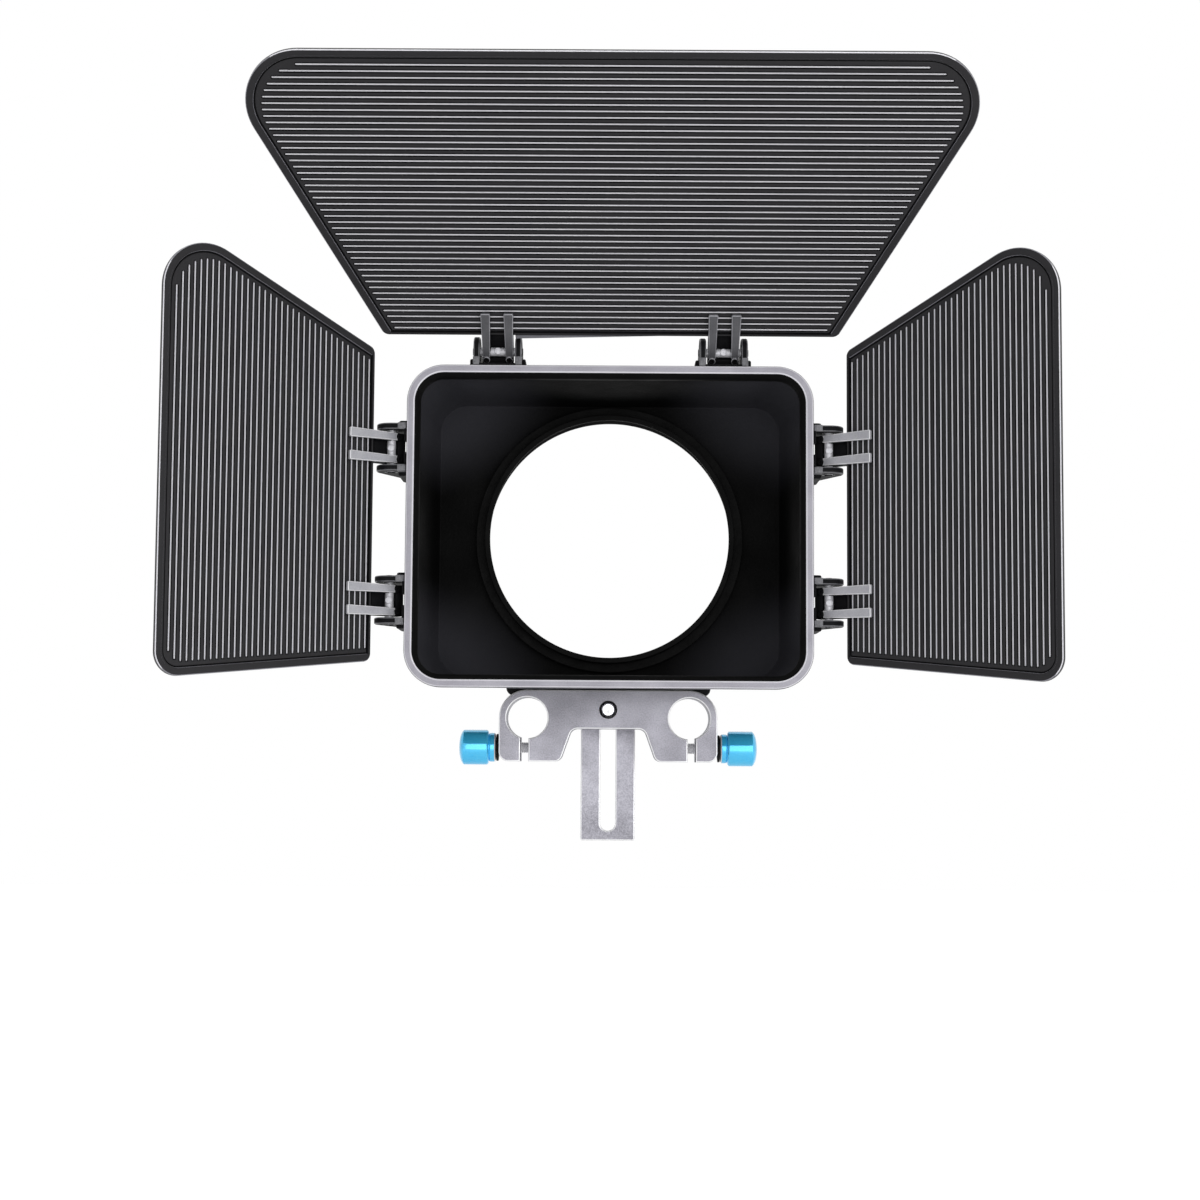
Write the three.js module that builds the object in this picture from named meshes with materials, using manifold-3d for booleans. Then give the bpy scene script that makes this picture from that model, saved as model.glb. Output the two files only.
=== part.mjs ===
// Matte box for a camera on two rods: a hood with three ribbed flags on clip hinges, a slotted
// height arm and a rod clamp. Millimetres, +Z up. The subject is on the -Y side, the lens on the +Y side.
// The origin lies midway between the axes of the two rod bores, at mid thickness of the clamp.
import * as THREE from "three";
import { mergeVertices } from "three/addons/utils/BufferGeometryUtils.js";
import Module from "manifold-3d";

const wasm = await Module();
wasm.setup();

// Values that every piece shares
const seatGap = 0.3; // left between two pieces that rest on each other
const overrun = 2; // how far a cutting solid runs past the face that it opens
const mergeDistance = 0.0005; // corners closer than this are one corner
const curveSteps = 6; // straight steps in a rounded corner
const smallSteps = 16; // straight steps round a screw, a pin or a small hole
const gripSteps = 24; // round a knob
const boreSteps = 36; // round a rod bore
const lensSteps = 56; // round the lens opening
const quarterTurn = Math.PI / 2;

// Rods and the clamp that slides on them
const rodSpacing = 60; // between the axes of the two rods
const rodBoreRadius = 7.6; // runs on rods of 15 across
const clampWall = 2.8; // material above and outside a rod bore
const clampThickness = 14; // along the rods
const clampDrop = 16.1; // from the rod axes to the feet
const clampFootCorner = 3.5; // radius at the outer bottom corners
const archTopDrop = 4; // from the rod axes to the flat top of the arch
const archTopMargin = 18.7; // from a rod's axis in to the flat top of the arch
const archFootMargin = 10.2; // from a rod's axis in to the foot of the arch
const archFootEase = 4.2; // how far the arch's curve runs on at the foot
const archTopEase = 4.2; // and at the flat top
const slitWidth = 3; // of the saw cut that lets a bore close on its rod
const slitOffset = 0.9; // from a rod's axis out to the middle of its saw cut

// Clamp screws and their knobs, one at each side
const clampScrewRadius = 2;
const clampScrewDrop = 11; // from the rod axes to the screws
const clampScrewReach = 18.6; // how far a screw goes into the clamp
const clampScrewClearance = 0.3;
const clampWasherRadius = 5;
const clampWasherThickness = 0.8;
const clampKnobRadius = 6.5;
const clampKnobLength = 9.9;
const clampKnobDome = 1.2; // how far the round end of a knob bulges
const clampKnobEdge = 0.6; // chamfer at a knob's edges
const clampCollarRadius = 5.4;
const clampCollarLength = 2.5;
const clampKnobBoreDepth = 8; // of the blind hole for the screw

// Height arm: a T-shaped plate that slides on the rear face of the clamp
const armThickness = 3;
const armHalfWidth = 10.2; // of the upright
const armDrop = 45.5; // from the rod axes to its lower end
const armHeadHalfWidth = 38.5;
const armHeadHang = 4.5; // how far the head reaches below the hood's rear wall
const armHeadCorner = 3;
const armArchDepth = 9.6; // of the arch that the head's top leaves for the lens ring
const slotClearance = 0.4; // between the slot and the lock screw, at each side
const slotTopRoom = 3.8; // from the lock screw's axis to the slot's upper end
const slotFootMargin = 3.6; // from the slot's lower end to the arm's

// Height lock: a screw through the slot, turned by a knob behind the arm
const lockScrewRadius = 2.45;
const lockScrewHeight = 3.1; // above the rod axes
const lockScrewClearance = 0.45; // round it in the clamp
const lockKnobClearance = 0.3; // round it in the washer and the knob
const lockScrewSetBack = 0.6; // of the screw's tip behind the clamp's front face
const lockWasherRadius = 5.6;
const lockWasherThickness = 1;
const lockCollarRadius = 5.2;
const lockCollarLength = 3;
const lockKnobRadius = 6.4;
const lockKnobLength = 11;
const lockKnobDome = 1.4;
const lockKnobEdge = 0.8;
const lockKnobBoreDepth = 9;

// Hood: front rim, tapered shell with its rear wall, and the ring round the lens
const hoodClampGap = 2.6; // from the clamp's top to the lower edge of the rear wall
const hoodCorner = 13; // outer corner radius
const hoodFlareSide = 5; // how much wider the hood gets towards its front, at each side
const hoodFlareTop = 2.5;
const hoodFlareBottom = 3.5;
const hoodFrontToClamp = 45; // from the rim's face back to the clamp's front face
const rimDepth = 5;
const rimFaceWidth = 2.8;
const rimBevelWidth = 1.8; // of the slanted strip inside the face
const rimBevelDepth = 2;
const shellInset = 0.5; // how far the shell stands back from the rim's outline
const shellWall = 2.2;
const rearWallThickness = 3.5;
const lensAxisOffset = 0.3; // of the lens axis above the middle of the rear wall
const lensRingRoom = 1.1; // between the lens ring and the shell, above and below
const lensRingSideRoom = 13.8; // and at both sides
const lensApertureRadius = 44.6;
const lensRingWall = 1.6;
const lensRingBoreWiden = 1.4; // how much wider the bore is behind the aperture's edge
const lensRingLip = 3.7; // how far the aperture's edge stands in front of the flange
const lensRingLipWall = 2;
const lensRingEdge = 1.5; // length of the narrow aperture edge
const lensRingFlangeWidth = 2.4; // of the flange beyond the neck
const lensRingFlangeThickness = 3;
const lensRingTail = 7; // how far the neck stands out behind the rear wall

// Screws that hold the arm's head on the rear wall
const armScrewInset = 6; // from the ends of the head
const armScrewLowMargin = 7.4; // of the lower screws above the head's lower edge
const armScrewHighMargin = 4.1; // of the upper screws below the head's upper edge
const armScrewRadius = 1.5;
const armScrewHeadRadius = 2.8;
const armScrewHeadHeight = 1.8;
const armScrewClearance = 0.3;
const armScrewDepth = 2.5; // how far a screw goes into the rear wall

// Hinges: a bracket with two ears on the hood, a cross pin, and a clip that holds the flag
const pivotRise = 5.9; // from the rim's outline out to the pivot axis
const pivotSetBack = 7; // from the rim's face back to the pivot axis
const pinRadius = 1.55;
const pinClearance = 0.3;
const pinEndShow = 0.4; // how far a pin's end stands out of the ear
const pinScrewRadius = 1.1; // of the small screw end that shows in the pin's middle
const pinScrewRise = 0.25;
const earGapHalf = 6.2; // from the hinge's middle to an ear's inner face
const earThickness = 2.3;
const earRadius = 5.2; // round end of an ear, about the pivot
const footLength = 18; // of the bracket along the hood wall
const footLead = 1.2; // how far the feet reach in front of the pivot
const footRise = 3.3; // of the feet above the rim's outline
const footOverhang = 1.4; // of a foot outside its ear
const bridgeRise = 0.8; // of the strip that joins the two feet
const bridgeLength = 6;
const topHingeInset = 31.5; // of the two upper hinges, from the hood's sides
const sideHingeInset = 29.8; // of the side hinges, from the hood's top and bottom

// Clips: two prongs in front of the flag, a plate behind it, and a crossbar at the root
const prongOffset = 4.05; // from the clip's middle to a prong's middle
const prongTipWidth = 3.35;
const prongRootWidth = 2.6;
const prongThickness = 1.5;
const topProngTip = 16; // from the pivot to the prongs' ends, on the upper flag
const sideProngTip = 18.2; // and on a side flag
const prongRoot = 1.9; // from the pivot back to the centre of the round root
const rootHoleRadius = 1;
const rootHoleDepth = 1.1;
const clipSlotClearance = 0.35; // between the flag's ribs and the prongs
const clipPlateThickness = 1.3;
const clipPlateHalfWidth = 5.5;
const clipWebInner = 2.5; // from the clip's middle to a web's inner face
const clipWebEnd = 6.6; // from the pivot to the webs' ends
const crossbarDepth = 1.4; // of the crossbar along the prongs

// Flags: thin ribbed plates with a raised border
const flagThickness = 1.9; // with its ribs
const flagPlateThickness = 1.3;
const flagBorder = 2.7; // width of the raised border
const flagRootBorder = 1.1; // and of its strip along the near edge
const ribMargin = 1.6; // between the border and the ends of the ribs
const ribWidth = 0.9;
const topLean = 38; // degrees that the upper flag leans forward from upright
const sideLean = 37; // degrees that a side flag leans forward from the plane of the rim
const topFlagRoot = 7; // from the pivot to the near edge
const topFlagReach = 109.3; // and to the far edge
const topFlagOverhang = 8.5; // of the near edge past each side of the hood
const topFlagFlare = 53.3; // of the far edge past the near one at each side, before its corners are rounded
const topFlagCorner = 18.5;
const topRibCount = 44;
const topRibFirst = 9.45; // from the pivot to the first rib
const topRibPitch = 2.2;
const sideFlagRoot = 7.8;
const sideFlagReach = 88.4;
const sideFlagOverhang = 4.9; // of the near edge past the hood's half height, at the upper end
const sideFlagTopFlare = 36.6; // of the far edge past the near one at the upper end
const sideFlagSetIn = 8.1; // of the near edge inside the hood's half height, at the lower end
const sideFlagBottomFlare = 8.1; // of the far edge past the near one at the lower end
const sideFlagTopCorner = 16.3;
const sideFlagBottomCorner = 8;
const sideRibCount = 35;
const sideRibFirst = 9.8;
const sideRibPitch = 2.165;
const flagRootCorner = 3; // radius at the two near corners of every flag
const lipStart = 33.7; // from the upper flag's middle to the high end of the lip on its near edge
const lipEnd = 25; // from its middle, on the other side, to where the lip runs out
const lipHeight = 1.6; // of the lip at its high end

// Places that follow from the sizes
const clampFront = -clampThickness / 2;
const clampRear = clampThickness / 2;
const rodX = rodSpacing / 2;
const clampCornerRadius = rodBoreRadius + clampWall;
const clampHalfWidth = rodX + clampCornerRadius;
const archTopHalfWidth = rodX - archTopMargin;
const archFootHalfWidth = rodX - archFootMargin;
const armFront = clampRear + seatGap;
const armRear = armFront + armThickness;
const rimFront = clampFront - hoodFrontToClamp;
const rimRear = rimFront + rimDepth;
const shellFront = rimRear + seatGap;
const shellRear = armFront - seatGap;
const rearWallFront = shellRear - rearWallThickness;
const lensNeckRadius = lensApertureRadius + lensRingBoreWiden + lensRingWall;
const lensRingRadius = lensNeckRadius + lensRingFlangeWidth;
const rearHeight = 2 * (lensRingRadius + lensRingRoom + shellWall + shellInset);
const rearWidth = 2 * (lensRingRadius + lensRingSideRoom + shellWall + shellInset);
const rearBottom = clampCornerRadius + hoodClampGap;
const rearCentre = rearBottom + rearHeight / 2;
const lensAxisHeight = rearCentre + lensAxisOffset;
const hoodWidth = rearWidth + 2 * hoodFlareSide;
const hoodHeight = rearHeight + hoodFlareTop + hoodFlareBottom;
const hoodBottom = rearBottom - hoodFlareBottom;
const hoodCentre = hoodBottom + hoodHeight / 2;
const armArchRadius = lensNeckRadius + 2 * seatGap;
const armArchRise = armArchRadius - armArchDepth;
const armHeadTop = lensAxisHeight - armArchRise;
const armHeadBottom = rearBottom - armHeadHang;
const armScrewX = armHeadHalfWidth - armScrewInset;
const armScrewHeights = [armHeadBottom + armScrewLowMargin, armHeadTop - armScrewHighMargin];
const slotHalfWidth = lockScrewRadius + slotClearance;
const slotTopHeight = lockScrewHeight + slotTopRoom;
const slotBottomDrop = armDrop - slotFootMargin;
const topHingeX = hoodWidth / 2 - topHingeInset;
const sideHingeZ = hoodHeight / 2 - sideHingeInset;
const topFlagRootHalf = hoodWidth / 2 + topFlagOverhang;
const topFlagFarHalf = topFlagRootHalf + topFlagFlare;
const sideFlagRootTop = hoodHeight / 2 + sideFlagOverhang;
const sideFlagFarTop = sideFlagRootTop + sideFlagTopFlare;
const sideFlagRootBottom = hoodHeight / 2 - sideFlagSetIn;
const sideFlagFarBottom = sideFlagRootBottom + sideFlagBottomFlare;
const pivotY = rimFront + pivotSetBack;
const pivotBore = pinRadius + pinClearance;
const flagFront = -flagThickness / 2;
const flagBack = flagThickness / 2;

// A closed three.js geometry as a solid that can be joined and cut
function solidOf(geometry) {
  geometry.deleteAttribute("normal");
  geometry.deleteAttribute("uv");
  const merged = mergeVertices(geometry, mergeDistance);
  const index = merged.index.array;
  const triangles = [];
  for (let i = 0; i < index.length; i += 3) {
    const [a, b, c] = [index[i], index[i + 1], index[i + 2]];
    if (a !== b && b !== c && c !== a) triangles.push(a, b, c);
  }
  const vertProperties = merged.attributes.position.array;
  const triVerts = new Uint32Array(triangles);
  return new wasm.Manifold(new wasm.Mesh({ numProp: 3, vertProperties, triVerts }));
}

// The first solid with the others added to it
function join(first, ...others) {
  return others.reduce((sum, other) => sum.add(other), first);
}

// The first solid with the others taken out of it
function cut(first, ...others) {
  return others.reduce((rest, other) => rest.subtract(other), first);
}

// A box between two corners
function block([x0, x1], [y0, y1], [z0, z1]) {
  const geometry = new THREE.BoxGeometry(x1 - x0, y1 - y0, z1 - z0);
  geometry.translate((x0 + x1) / 2, (y0 + y1) / 2, (z0 + z1) / 2);
  return solidOf(geometry);
}

// A round bar from one point to another
function bar(radius, start, end, steps = smallSteps) {
  const from = new THREE.Vector3(...start);
  const to = new THREE.Vector3(...end);
  const way = to.clone().sub(from);
  const geometry = new THREE.CylinderGeometry(radius, radius, way.length(), steps);
  const turn = new THREE.Quaternion().setFromUnitVectors(new THREE.Vector3(0, 1, 0), way.normalize());
  geometry.applyQuaternion(turn);
  const middle = from.add(to).multiplyScalar(1 / 2);
  geometry.translate(middle.x, middle.y, middle.z);
  return solidOf(geometry);
}

// A turned piece. Each profile point is [distance along the axis, radius], from its start to its end.
function turned(profile, start, direction, steps) {
  const points = profile.map(([along, radius]) => new THREE.Vector2(radius, along));
  const geometry = new THREE.LatheGeometry(points, steps);
  const way = new THREE.Vector3(...direction);
  geometry.applyQuaternion(new THREE.Quaternion().setFromUnitVectors(new THREE.Vector3(0, 1, 0), way));
  geometry.translate(...start);
  return solidOf(geometry);
}

// A plate drawn in X and Z, with its rear face at rearY
function slab(outline, rearY, thickness) {
  const settings = { depth: thickness, bevelEnabled: false, curveSegments: curveSteps };
  const geometry = new THREE.ExtrudeGeometry(outline, settings);
  geometry.rotateX(quarterTurn);
  geometry.translate(0, rearY, 0);
  return solidOf(geometry);
}

// A closed convex outline through corners [x, z, radius], drawn counter-clockwise. It is shrunk by an
// inset, but along its first edge by firstInset.
function roundedOutline(corners, inset = 0, firstInset = inset) {
  const points = corners.map(([x, z]) => new THREE.Vector2(x, z));
  const count = points.length;
  const edges = points.map((point, i) => {
    const way = points[(i + 1) % count].clone().sub(point).normalize();
    const inward = new THREE.Vector2(-way.y, way.x);
    return { way, start: point.clone().addScaledVector(inward, i > 0 ? inset : firstInset) };
  });
  const outline = new THREE.Shape();
  edges.forEach((edge, i) => {
    const before = edges[(i + count - 1) % count];
    const gap = edge.start.clone().sub(before.start);
    const along = gap.cross(edge.way) / before.way.cross(edge.way);
    const corner = before.start.clone().addScaledVector(before.way, along);
    const radius = Math.max(corners[i][2] - inset, mergeDistance);
    const turn = Math.acos(before.way.dot(edge.way));
    const reach = radius * Math.tan(turn / 2);
    const first = corner.clone().addScaledVector(before.way, -reach);
    const centre = first.clone().add(new THREE.Vector2(-before.way.y, before.way.x).multiplyScalar(radius));
    const startAngle = Math.atan2(first.y - centre.y, first.x - centre.x);
    outline.absarc(centre.x, centre.y, radius, startAngle, startAngle + turn, false);
  });
  return outline;
}

// A rectangle with round corners, centred on X and on the given height
function roundedRectangle(width, height, radius, centreZ) {
  const [x, low, high] = [width / 2, centreZ - height / 2, centreZ + height / 2];
  return roundedOutline([
    [-x, low, radius],
    [x, low, radius],
    [x, high, radius],
    [-x, high, radius],
  ]);
}

// A rounded rectangle that changes its size from the front to the rear
function taperedBlock(front, rear) {
  const outline = roundedRectangle(front.width, front.height, front.radius, 0);
  const settings = { depth: rear.y - front.y, bevelEnabled: false, curveSegments: curveSteps };
  const geometry = new THREE.ExtrudeGeometry(outline, settings);
  geometry.rotateX(quarterTurn);
  geometry.translate(0, rear.y, 0);
  const position = geometry.getAttribute("position");
  for (let i = 0; i < position.count; i++) {
    const share = (position.getY(i) - front.y) / (rear.y - front.y);
    const widthShare = THREE.MathUtils.lerp(1, rear.width / front.width, share);
    const heightShare = THREE.MathUtils.lerp(1, rear.height / front.height, share);
    const centre = THREE.MathUtils.lerp(front.centre, rear.centre, share);
    position.setX(i, position.getX(i) * widthShare);
    position.setZ(i, position.getZ(i) * heightShare + centre);
  }
  return solidOf(geometry);
}

// A solid as a named mesh with a material of its own
function piece(name, solid, [color, roughness, metalness]) {
  const data = solid.getMesh();
  const geometry = new THREE.BufferGeometry();
  geometry.setAttribute("position", new THREE.BufferAttribute(data.vertProperties, 3));
  geometry.setIndex(new THREE.BufferAttribute(data.triVerts, 1));
  const faceted = geometry.toNonIndexed();
  faceted.computeVertexNormals();
  const mesh = new THREE.Mesh(faceted, new THREE.MeshStandardMaterial({ color, roughness, metalness }));
  mesh.name = name;
  return mesh;
}

// Finishes as colour, roughness and metalness
const greyAluminium = [0x8c8c92, 0.55, 0.8];
const blueAluminium = [0x0a6fe0, 0.25, 0.8];
const brightSteel = [0xc4c6c8, 0.3, 1];
const blackPlastic = [0x131315, 0.45, 0];
const flagPlastic = [0x36363b, 0.5, 0];
const clipPlastic = [0x5a5a5f, 0.6, 0];
const rimPaint = [0x9a9aa2, 0.5, 0.5];

const matteBox = new THREE.Group();

// The rod clamp
function clampOutline() {
  const outline = new THREE.Shape();
  const corner = clampFootCorner;
  outline.moveTo(-clampHalfWidth, 0);
  outline.lineTo(-clampHalfWidth, corner - clampDrop);
  outline.absarc(corner - clampHalfWidth, corner - clampDrop, corner, Math.PI, 3 * quarterTurn, false);
  outline.lineTo(-archFootHalfWidth, -clampDrop);
  outline.bezierCurveTo(
    archFootEase - archFootHalfWidth, -clampDrop,
    -archTopHalfWidth - archTopEase, -archTopDrop,
    -archTopHalfWidth, -archTopDrop,
  );
  outline.lineTo(archTopHalfWidth, -archTopDrop);
  outline.bezierCurveTo(
    archTopHalfWidth + archTopEase, -archTopDrop,
    archFootHalfWidth - archFootEase, -clampDrop,
    archFootHalfWidth, -clampDrop,
  );
  outline.lineTo(clampHalfWidth - corner, -clampDrop);
  outline.absarc(clampHalfWidth - corner, corner - clampDrop, corner, -quarterTurn, 0, false);
  outline.lineTo(clampHalfWidth, 0);
  outline.absarc(rodX, 0, clampCornerRadius, 0, quarterTurn, false);
  outline.absarc(-rodX, 0, clampCornerRadius, quarterTurn, Math.PI, false);
  return outline;
}

function makeRodClamp() {
  const through = [clampFront - overrun, clampRear + overrun];
  const holes = [-1, 1].flatMap((sign) => {
    const x = sign * rodX;
    const slitX = sign * (rodX + slitOffset);
    const screwHole = clampScrewRadius + clampScrewClearance;
    const deep = sign * (clampHalfWidth - clampScrewReach - seatGap);
    const open = sign * (clampHalfWidth + overrun);
    return [
      bar(rodBoreRadius, [x, through[0], 0], [x, through[1], 0], boreSteps),
      block([slitX - slitWidth / 2, slitX + slitWidth / 2], through, [-clampDrop - overrun, 0]),
      bar(screwHole, [deep, 0, -clampScrewDrop], [open, 0, -clampScrewDrop]),
    ];
  });
  const lockHole = lockScrewRadius + lockScrewClearance;
  const height = lockScrewHeight;
  holes.push(bar(lockHole, [0, through[0], height], [0, through[1], height]));
  return cut(slab(clampOutline(), clampRear, clampThickness), ...holes);
}

matteBox.add(piece("rod_clamp_bracket", makeRodClamp(), greyAluminium));

// A knob: a short collar, a round grip and a domed end, with a blind hole for its screw
function knobProfile(size) {
  const gripEnd = size.collarLength + size.gripLength;
  return [
    [size.boreDepth, 0],
    [size.boreDepth, size.boreRadius],
    [0, size.boreRadius],
    [0, size.collarRadius],
    [size.collarLength, size.collarRadius],
    [size.collarLength, size.gripRadius - size.edge],
    [size.collarLength + size.edge, size.gripRadius],
    [gripEnd - size.edge, size.gripRadius],
    [gripEnd, size.gripRadius - size.edge],
    [gripEnd + size.dome * Math.cos(quarterTurn / 2), (size.gripRadius - size.edge) / 2],
    [gripEnd + size.dome, 0],
  ];
}

// A flat washer, from its inner to its outer face
function washerProfile(innerRadius, outerRadius, thickness) {
  return [
    [0, innerRadius],
    [0, outerRadius],
    [thickness, outerRadius],
    [thickness, innerRadius],
    [0, innerRadius],
  ];
}

// Clamp screws with their washers and knobs
for (const [side, sign] of [["left", -1], ["right", 1]]) {
  const outward = [sign, 0, 0];
  const at = (distance) => [sign * (clampHalfWidth + distance), 0, -clampScrewDrop];
  const boreRadius = clampScrewRadius + clampScrewClearance;
  const knobStart = seatGap + clampWasherThickness + seatGap;
  const washer = washerProfile(boreRadius, clampWasherRadius, clampWasherThickness);
  const knob = knobProfile({
    collarRadius: clampCollarRadius,
    collarLength: clampCollarLength,
    gripRadius: clampKnobRadius,
    gripLength: clampKnobLength,
    edge: clampKnobEdge,
    dome: clampKnobDome,
    boreRadius,
    boreDepth: clampKnobBoreDepth,
  });
  const screwEnd = knobStart + clampKnobBoreDepth - seatGap;
  const screw = bar(clampScrewRadius, at(-clampScrewReach), at(screwEnd));
  matteBox.add(
    piece(side + "_clamp_washer", turned(washer, at(seatGap), outward, smallSteps), blackPlastic),
    piece(side + "_clamp_knob", turned(knob, at(knobStart), outward, gripSteps), blueAluminium),
    piece(side + "_clamp_screw", screw, brightSteel),
  );
}

// The height arm
function armOutline() {
  const outline = new THREE.Shape();
  const archHalf = Math.sqrt(armArchRadius ** 2 - armArchRise ** 2);
  const archStart = Math.atan2(-armArchRise, archHalf);
  outline.moveTo(-armHalfWidth, -armDrop);
  outline.lineTo(armHalfWidth, -armDrop);
  outline.lineTo(armHalfWidth, armHeadBottom);
  outline.lineTo(armHeadHalfWidth - armHeadCorner, armHeadBottom);
  const cornerZ = armHeadBottom + armHeadCorner;
  outline.absarc(armHeadHalfWidth - armHeadCorner, cornerZ, armHeadCorner, -quarterTurn, 0, false);
  outline.lineTo(armHeadHalfWidth, armHeadTop);
  outline.lineTo(archHalf, armHeadTop);
  outline.absarc(0, lensAxisHeight, armArchRadius, archStart, Math.PI - archStart - 2 * Math.PI, true);
  outline.lineTo(-armHeadHalfWidth, armHeadTop);
  outline.lineTo(-armHeadHalfWidth, cornerZ);
  outline.absarc(armHeadCorner - armHeadHalfWidth, cornerZ, armHeadCorner, Math.PI, 3 * quarterTurn, false);
  outline.lineTo(-armHalfWidth, armHeadBottom);
  return outline;
}

function slotOutline() {
  const slot = new THREE.Shape();
  const top = slotTopHeight - slotHalfWidth;
  const bottom = slotHalfWidth - slotBottomDrop;
  slot.absarc(0, top, slotHalfWidth, 0, Math.PI, false);
  slot.absarc(0, bottom, slotHalfWidth, Math.PI, 2 * Math.PI, false);
  return slot;
}

const armScrewPlaces = [-1, 1].flatMap((sign) =>
  armScrewHeights.map((height) => [sign * armScrewX, height]),
);

// Holes for the screws from one depth to a face that they open
function armScrewHoles(deep, face) {
  const radius = armScrewRadius + armScrewClearance;
  return armScrewPlaces.map(([x, z]) => bar(radius, [x, deep, z], [x, face + overrun, z]));
}

function makeArm() {
  const plate = slab(armOutline(), armRear, armThickness);
  const slot = slab(slotOutline(), armRear + overrun, armThickness + 2 * overrun);
  return cut(plate, slot, ...armScrewHoles(armFront - overrun, armRear));
}

matteBox.add(piece("slotted_height_arm", makeArm(), greyAluminium));

// Screws of the arm's head
armScrewPlaces.forEach(([x, z], i) => {
  const headFace = armRear + seatGap;
  const shank = bar(armScrewRadius, [x, shellRear - armScrewDepth, z], [x, headFace + seatGap, z]);
  const head = bar(armScrewHeadRadius, [x, headFace, z], [x, headFace + armScrewHeadHeight, z]);
  matteBox.add(piece("arm_screw_" + (i + 1), join(shank, head), brightSteel));
});

// The height lock
function makeLockKnob(start) {
  const profile = knobProfile({
    collarRadius: lockCollarRadius,
    collarLength: lockCollarLength,
    gripRadius: lockKnobRadius,
    gripLength: lockKnobLength,
    edge: lockKnobEdge,
    dome: lockKnobDome,
    boreRadius: lockScrewRadius + lockKnobClearance,
    boreDepth: lockKnobBoreDepth,
  });
  return turned(profile, [0, start, lockScrewHeight], [0, 1, 0], gripSteps);
}

const lockWasherStart = armRear + seatGap;
const lockKnobStart = lockWasherStart + lockWasherThickness + seatGap;
const lockScrewEnd = lockKnobStart + lockKnobBoreDepth - seatGap;
const lockWasherBore = lockScrewRadius + lockKnobClearance;
const lockWasher = washerProfile(lockWasherBore, lockWasherRadius, lockWasherThickness);
const lockScrewTip = [0, clampFront + lockScrewSetBack, lockScrewHeight];
const lockScrew = bar(lockScrewRadius, lockScrewTip, [0, lockScrewEnd, lockScrewHeight]);
const lockWasherSolid = turned(lockWasher, [0, lockWasherStart, lockScrewHeight], [0, 1, 0], smallSteps);
matteBox.add(
  piece("height_lock_washer", lockWasherSolid, blackPlastic),
  piece("height_lock_knob", makeLockKnob(lockKnobStart), blueAluminium),
  piece("height_lock_screw", lockScrew, brightSteel),
);

// The hood's shell: its outside, its inside and the opening for the lens
function hoodBlock(inset, front, rear) {
  const shareAt = (y) => (y - rimFront) / (shellRear - rimFront);
  const sizeAt = (y) => ({
    y,
    width: THREE.MathUtils.lerp(hoodWidth, rearWidth, shareAt(y)) - 2 * inset,
    height: THREE.MathUtils.lerp(hoodHeight, rearHeight, shareAt(y)) - 2 * inset,
    radius: hoodCorner - inset,
    centre: THREE.MathUtils.lerp(hoodCentre, rearCentre, shareAt(y)),
  });
  return taperedBlock(sizeAt(front), sizeAt(rear));
}

function makeShell() {
  const outside = hoodBlock(shellInset, shellFront, shellRear);
  const inside = hoodBlock(shellInset + shellWall, shellFront - overrun, rearWallFront);
  const holeRadius = lensNeckRadius + seatGap;
  const lensHole = turned(
    [
      [0, 0],
      [0, holeRadius],
      [rearWallThickness + 2 * overrun, holeRadius],
      [rearWallThickness + 2 * overrun, 0],
    ],
    [0, rearWallFront - overrun, lensAxisHeight],
    [0, 1, 0],
    lensSteps,
  );
  return cut(outside, inside, lensHole, ...armScrewHoles(shellRear - armScrewDepth - seatGap, shellRear));
}

matteBox.add(piece("hood_shell", makeShell(), blackPlastic));

// The rim at the front of the hood
function rimSize(inset, y) {
  return {
    y,
    width: hoodWidth - 2 * inset,
    height: hoodHeight - 2 * inset,
    radius: hoodCorner - inset,
    centre: hoodCentre,
  };
}

function makeRim() {
  const innerEdge = rimFaceWidth + rimBevelWidth;
  const bevelSlope = rimBevelWidth / rimBevelDepth;
  const outside = taperedBlock(rimSize(0, rimFront), rimSize(0, rimRear));
  const openingFront = rimSize(innerEdge, rimFront - overrun);
  const opening = taperedBlock(openingFront, rimSize(innerEdge, rimRear + overrun));
  const bevelFront = rimSize(rimFaceWidth - overrun * bevelSlope, rimFront - overrun);
  const bevel = taperedBlock(bevelFront, rimSize(innerEdge, rimFront + rimBevelDepth));
  return cut(outside, opening, bevel);
}

matteBox.add(piece("front_rim", makeRim(), rimPaint));

// The ring round the lens, seated on the rear wall from inside the hood
function makeLensRing() {
  const edge = lensApertureRadius;
  const bore = edge + lensRingBoreWiden;
  const neck = lensNeckRadius;
  const length = lensRingLip + lensRingFlangeThickness + seatGap + rearWallThickness + lensRingTail;
  const start = rearWallFront - seatGap - lensRingFlangeThickness - lensRingLip;
  const profile = [
    [0, edge],
    [0, edge + lensRingLipWall],
    [lensRingLip, edge + lensRingLipWall],
    [lensRingLip, lensRingRadius],
    [lensRingLip + lensRingFlangeThickness, lensRingRadius],
    [lensRingLip + lensRingFlangeThickness, neck],
    [length, neck],
    [length, bore],
    [lensRingEdge, bore],
    [lensRingEdge, edge],
    [0, edge],
  ];
  return turned(profile, [0, start, lensAxisHeight], [0, 1, 0], lensSteps);
}

matteBox.add(piece("lens_ring", makeLensRing(), blackPlastic));

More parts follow.
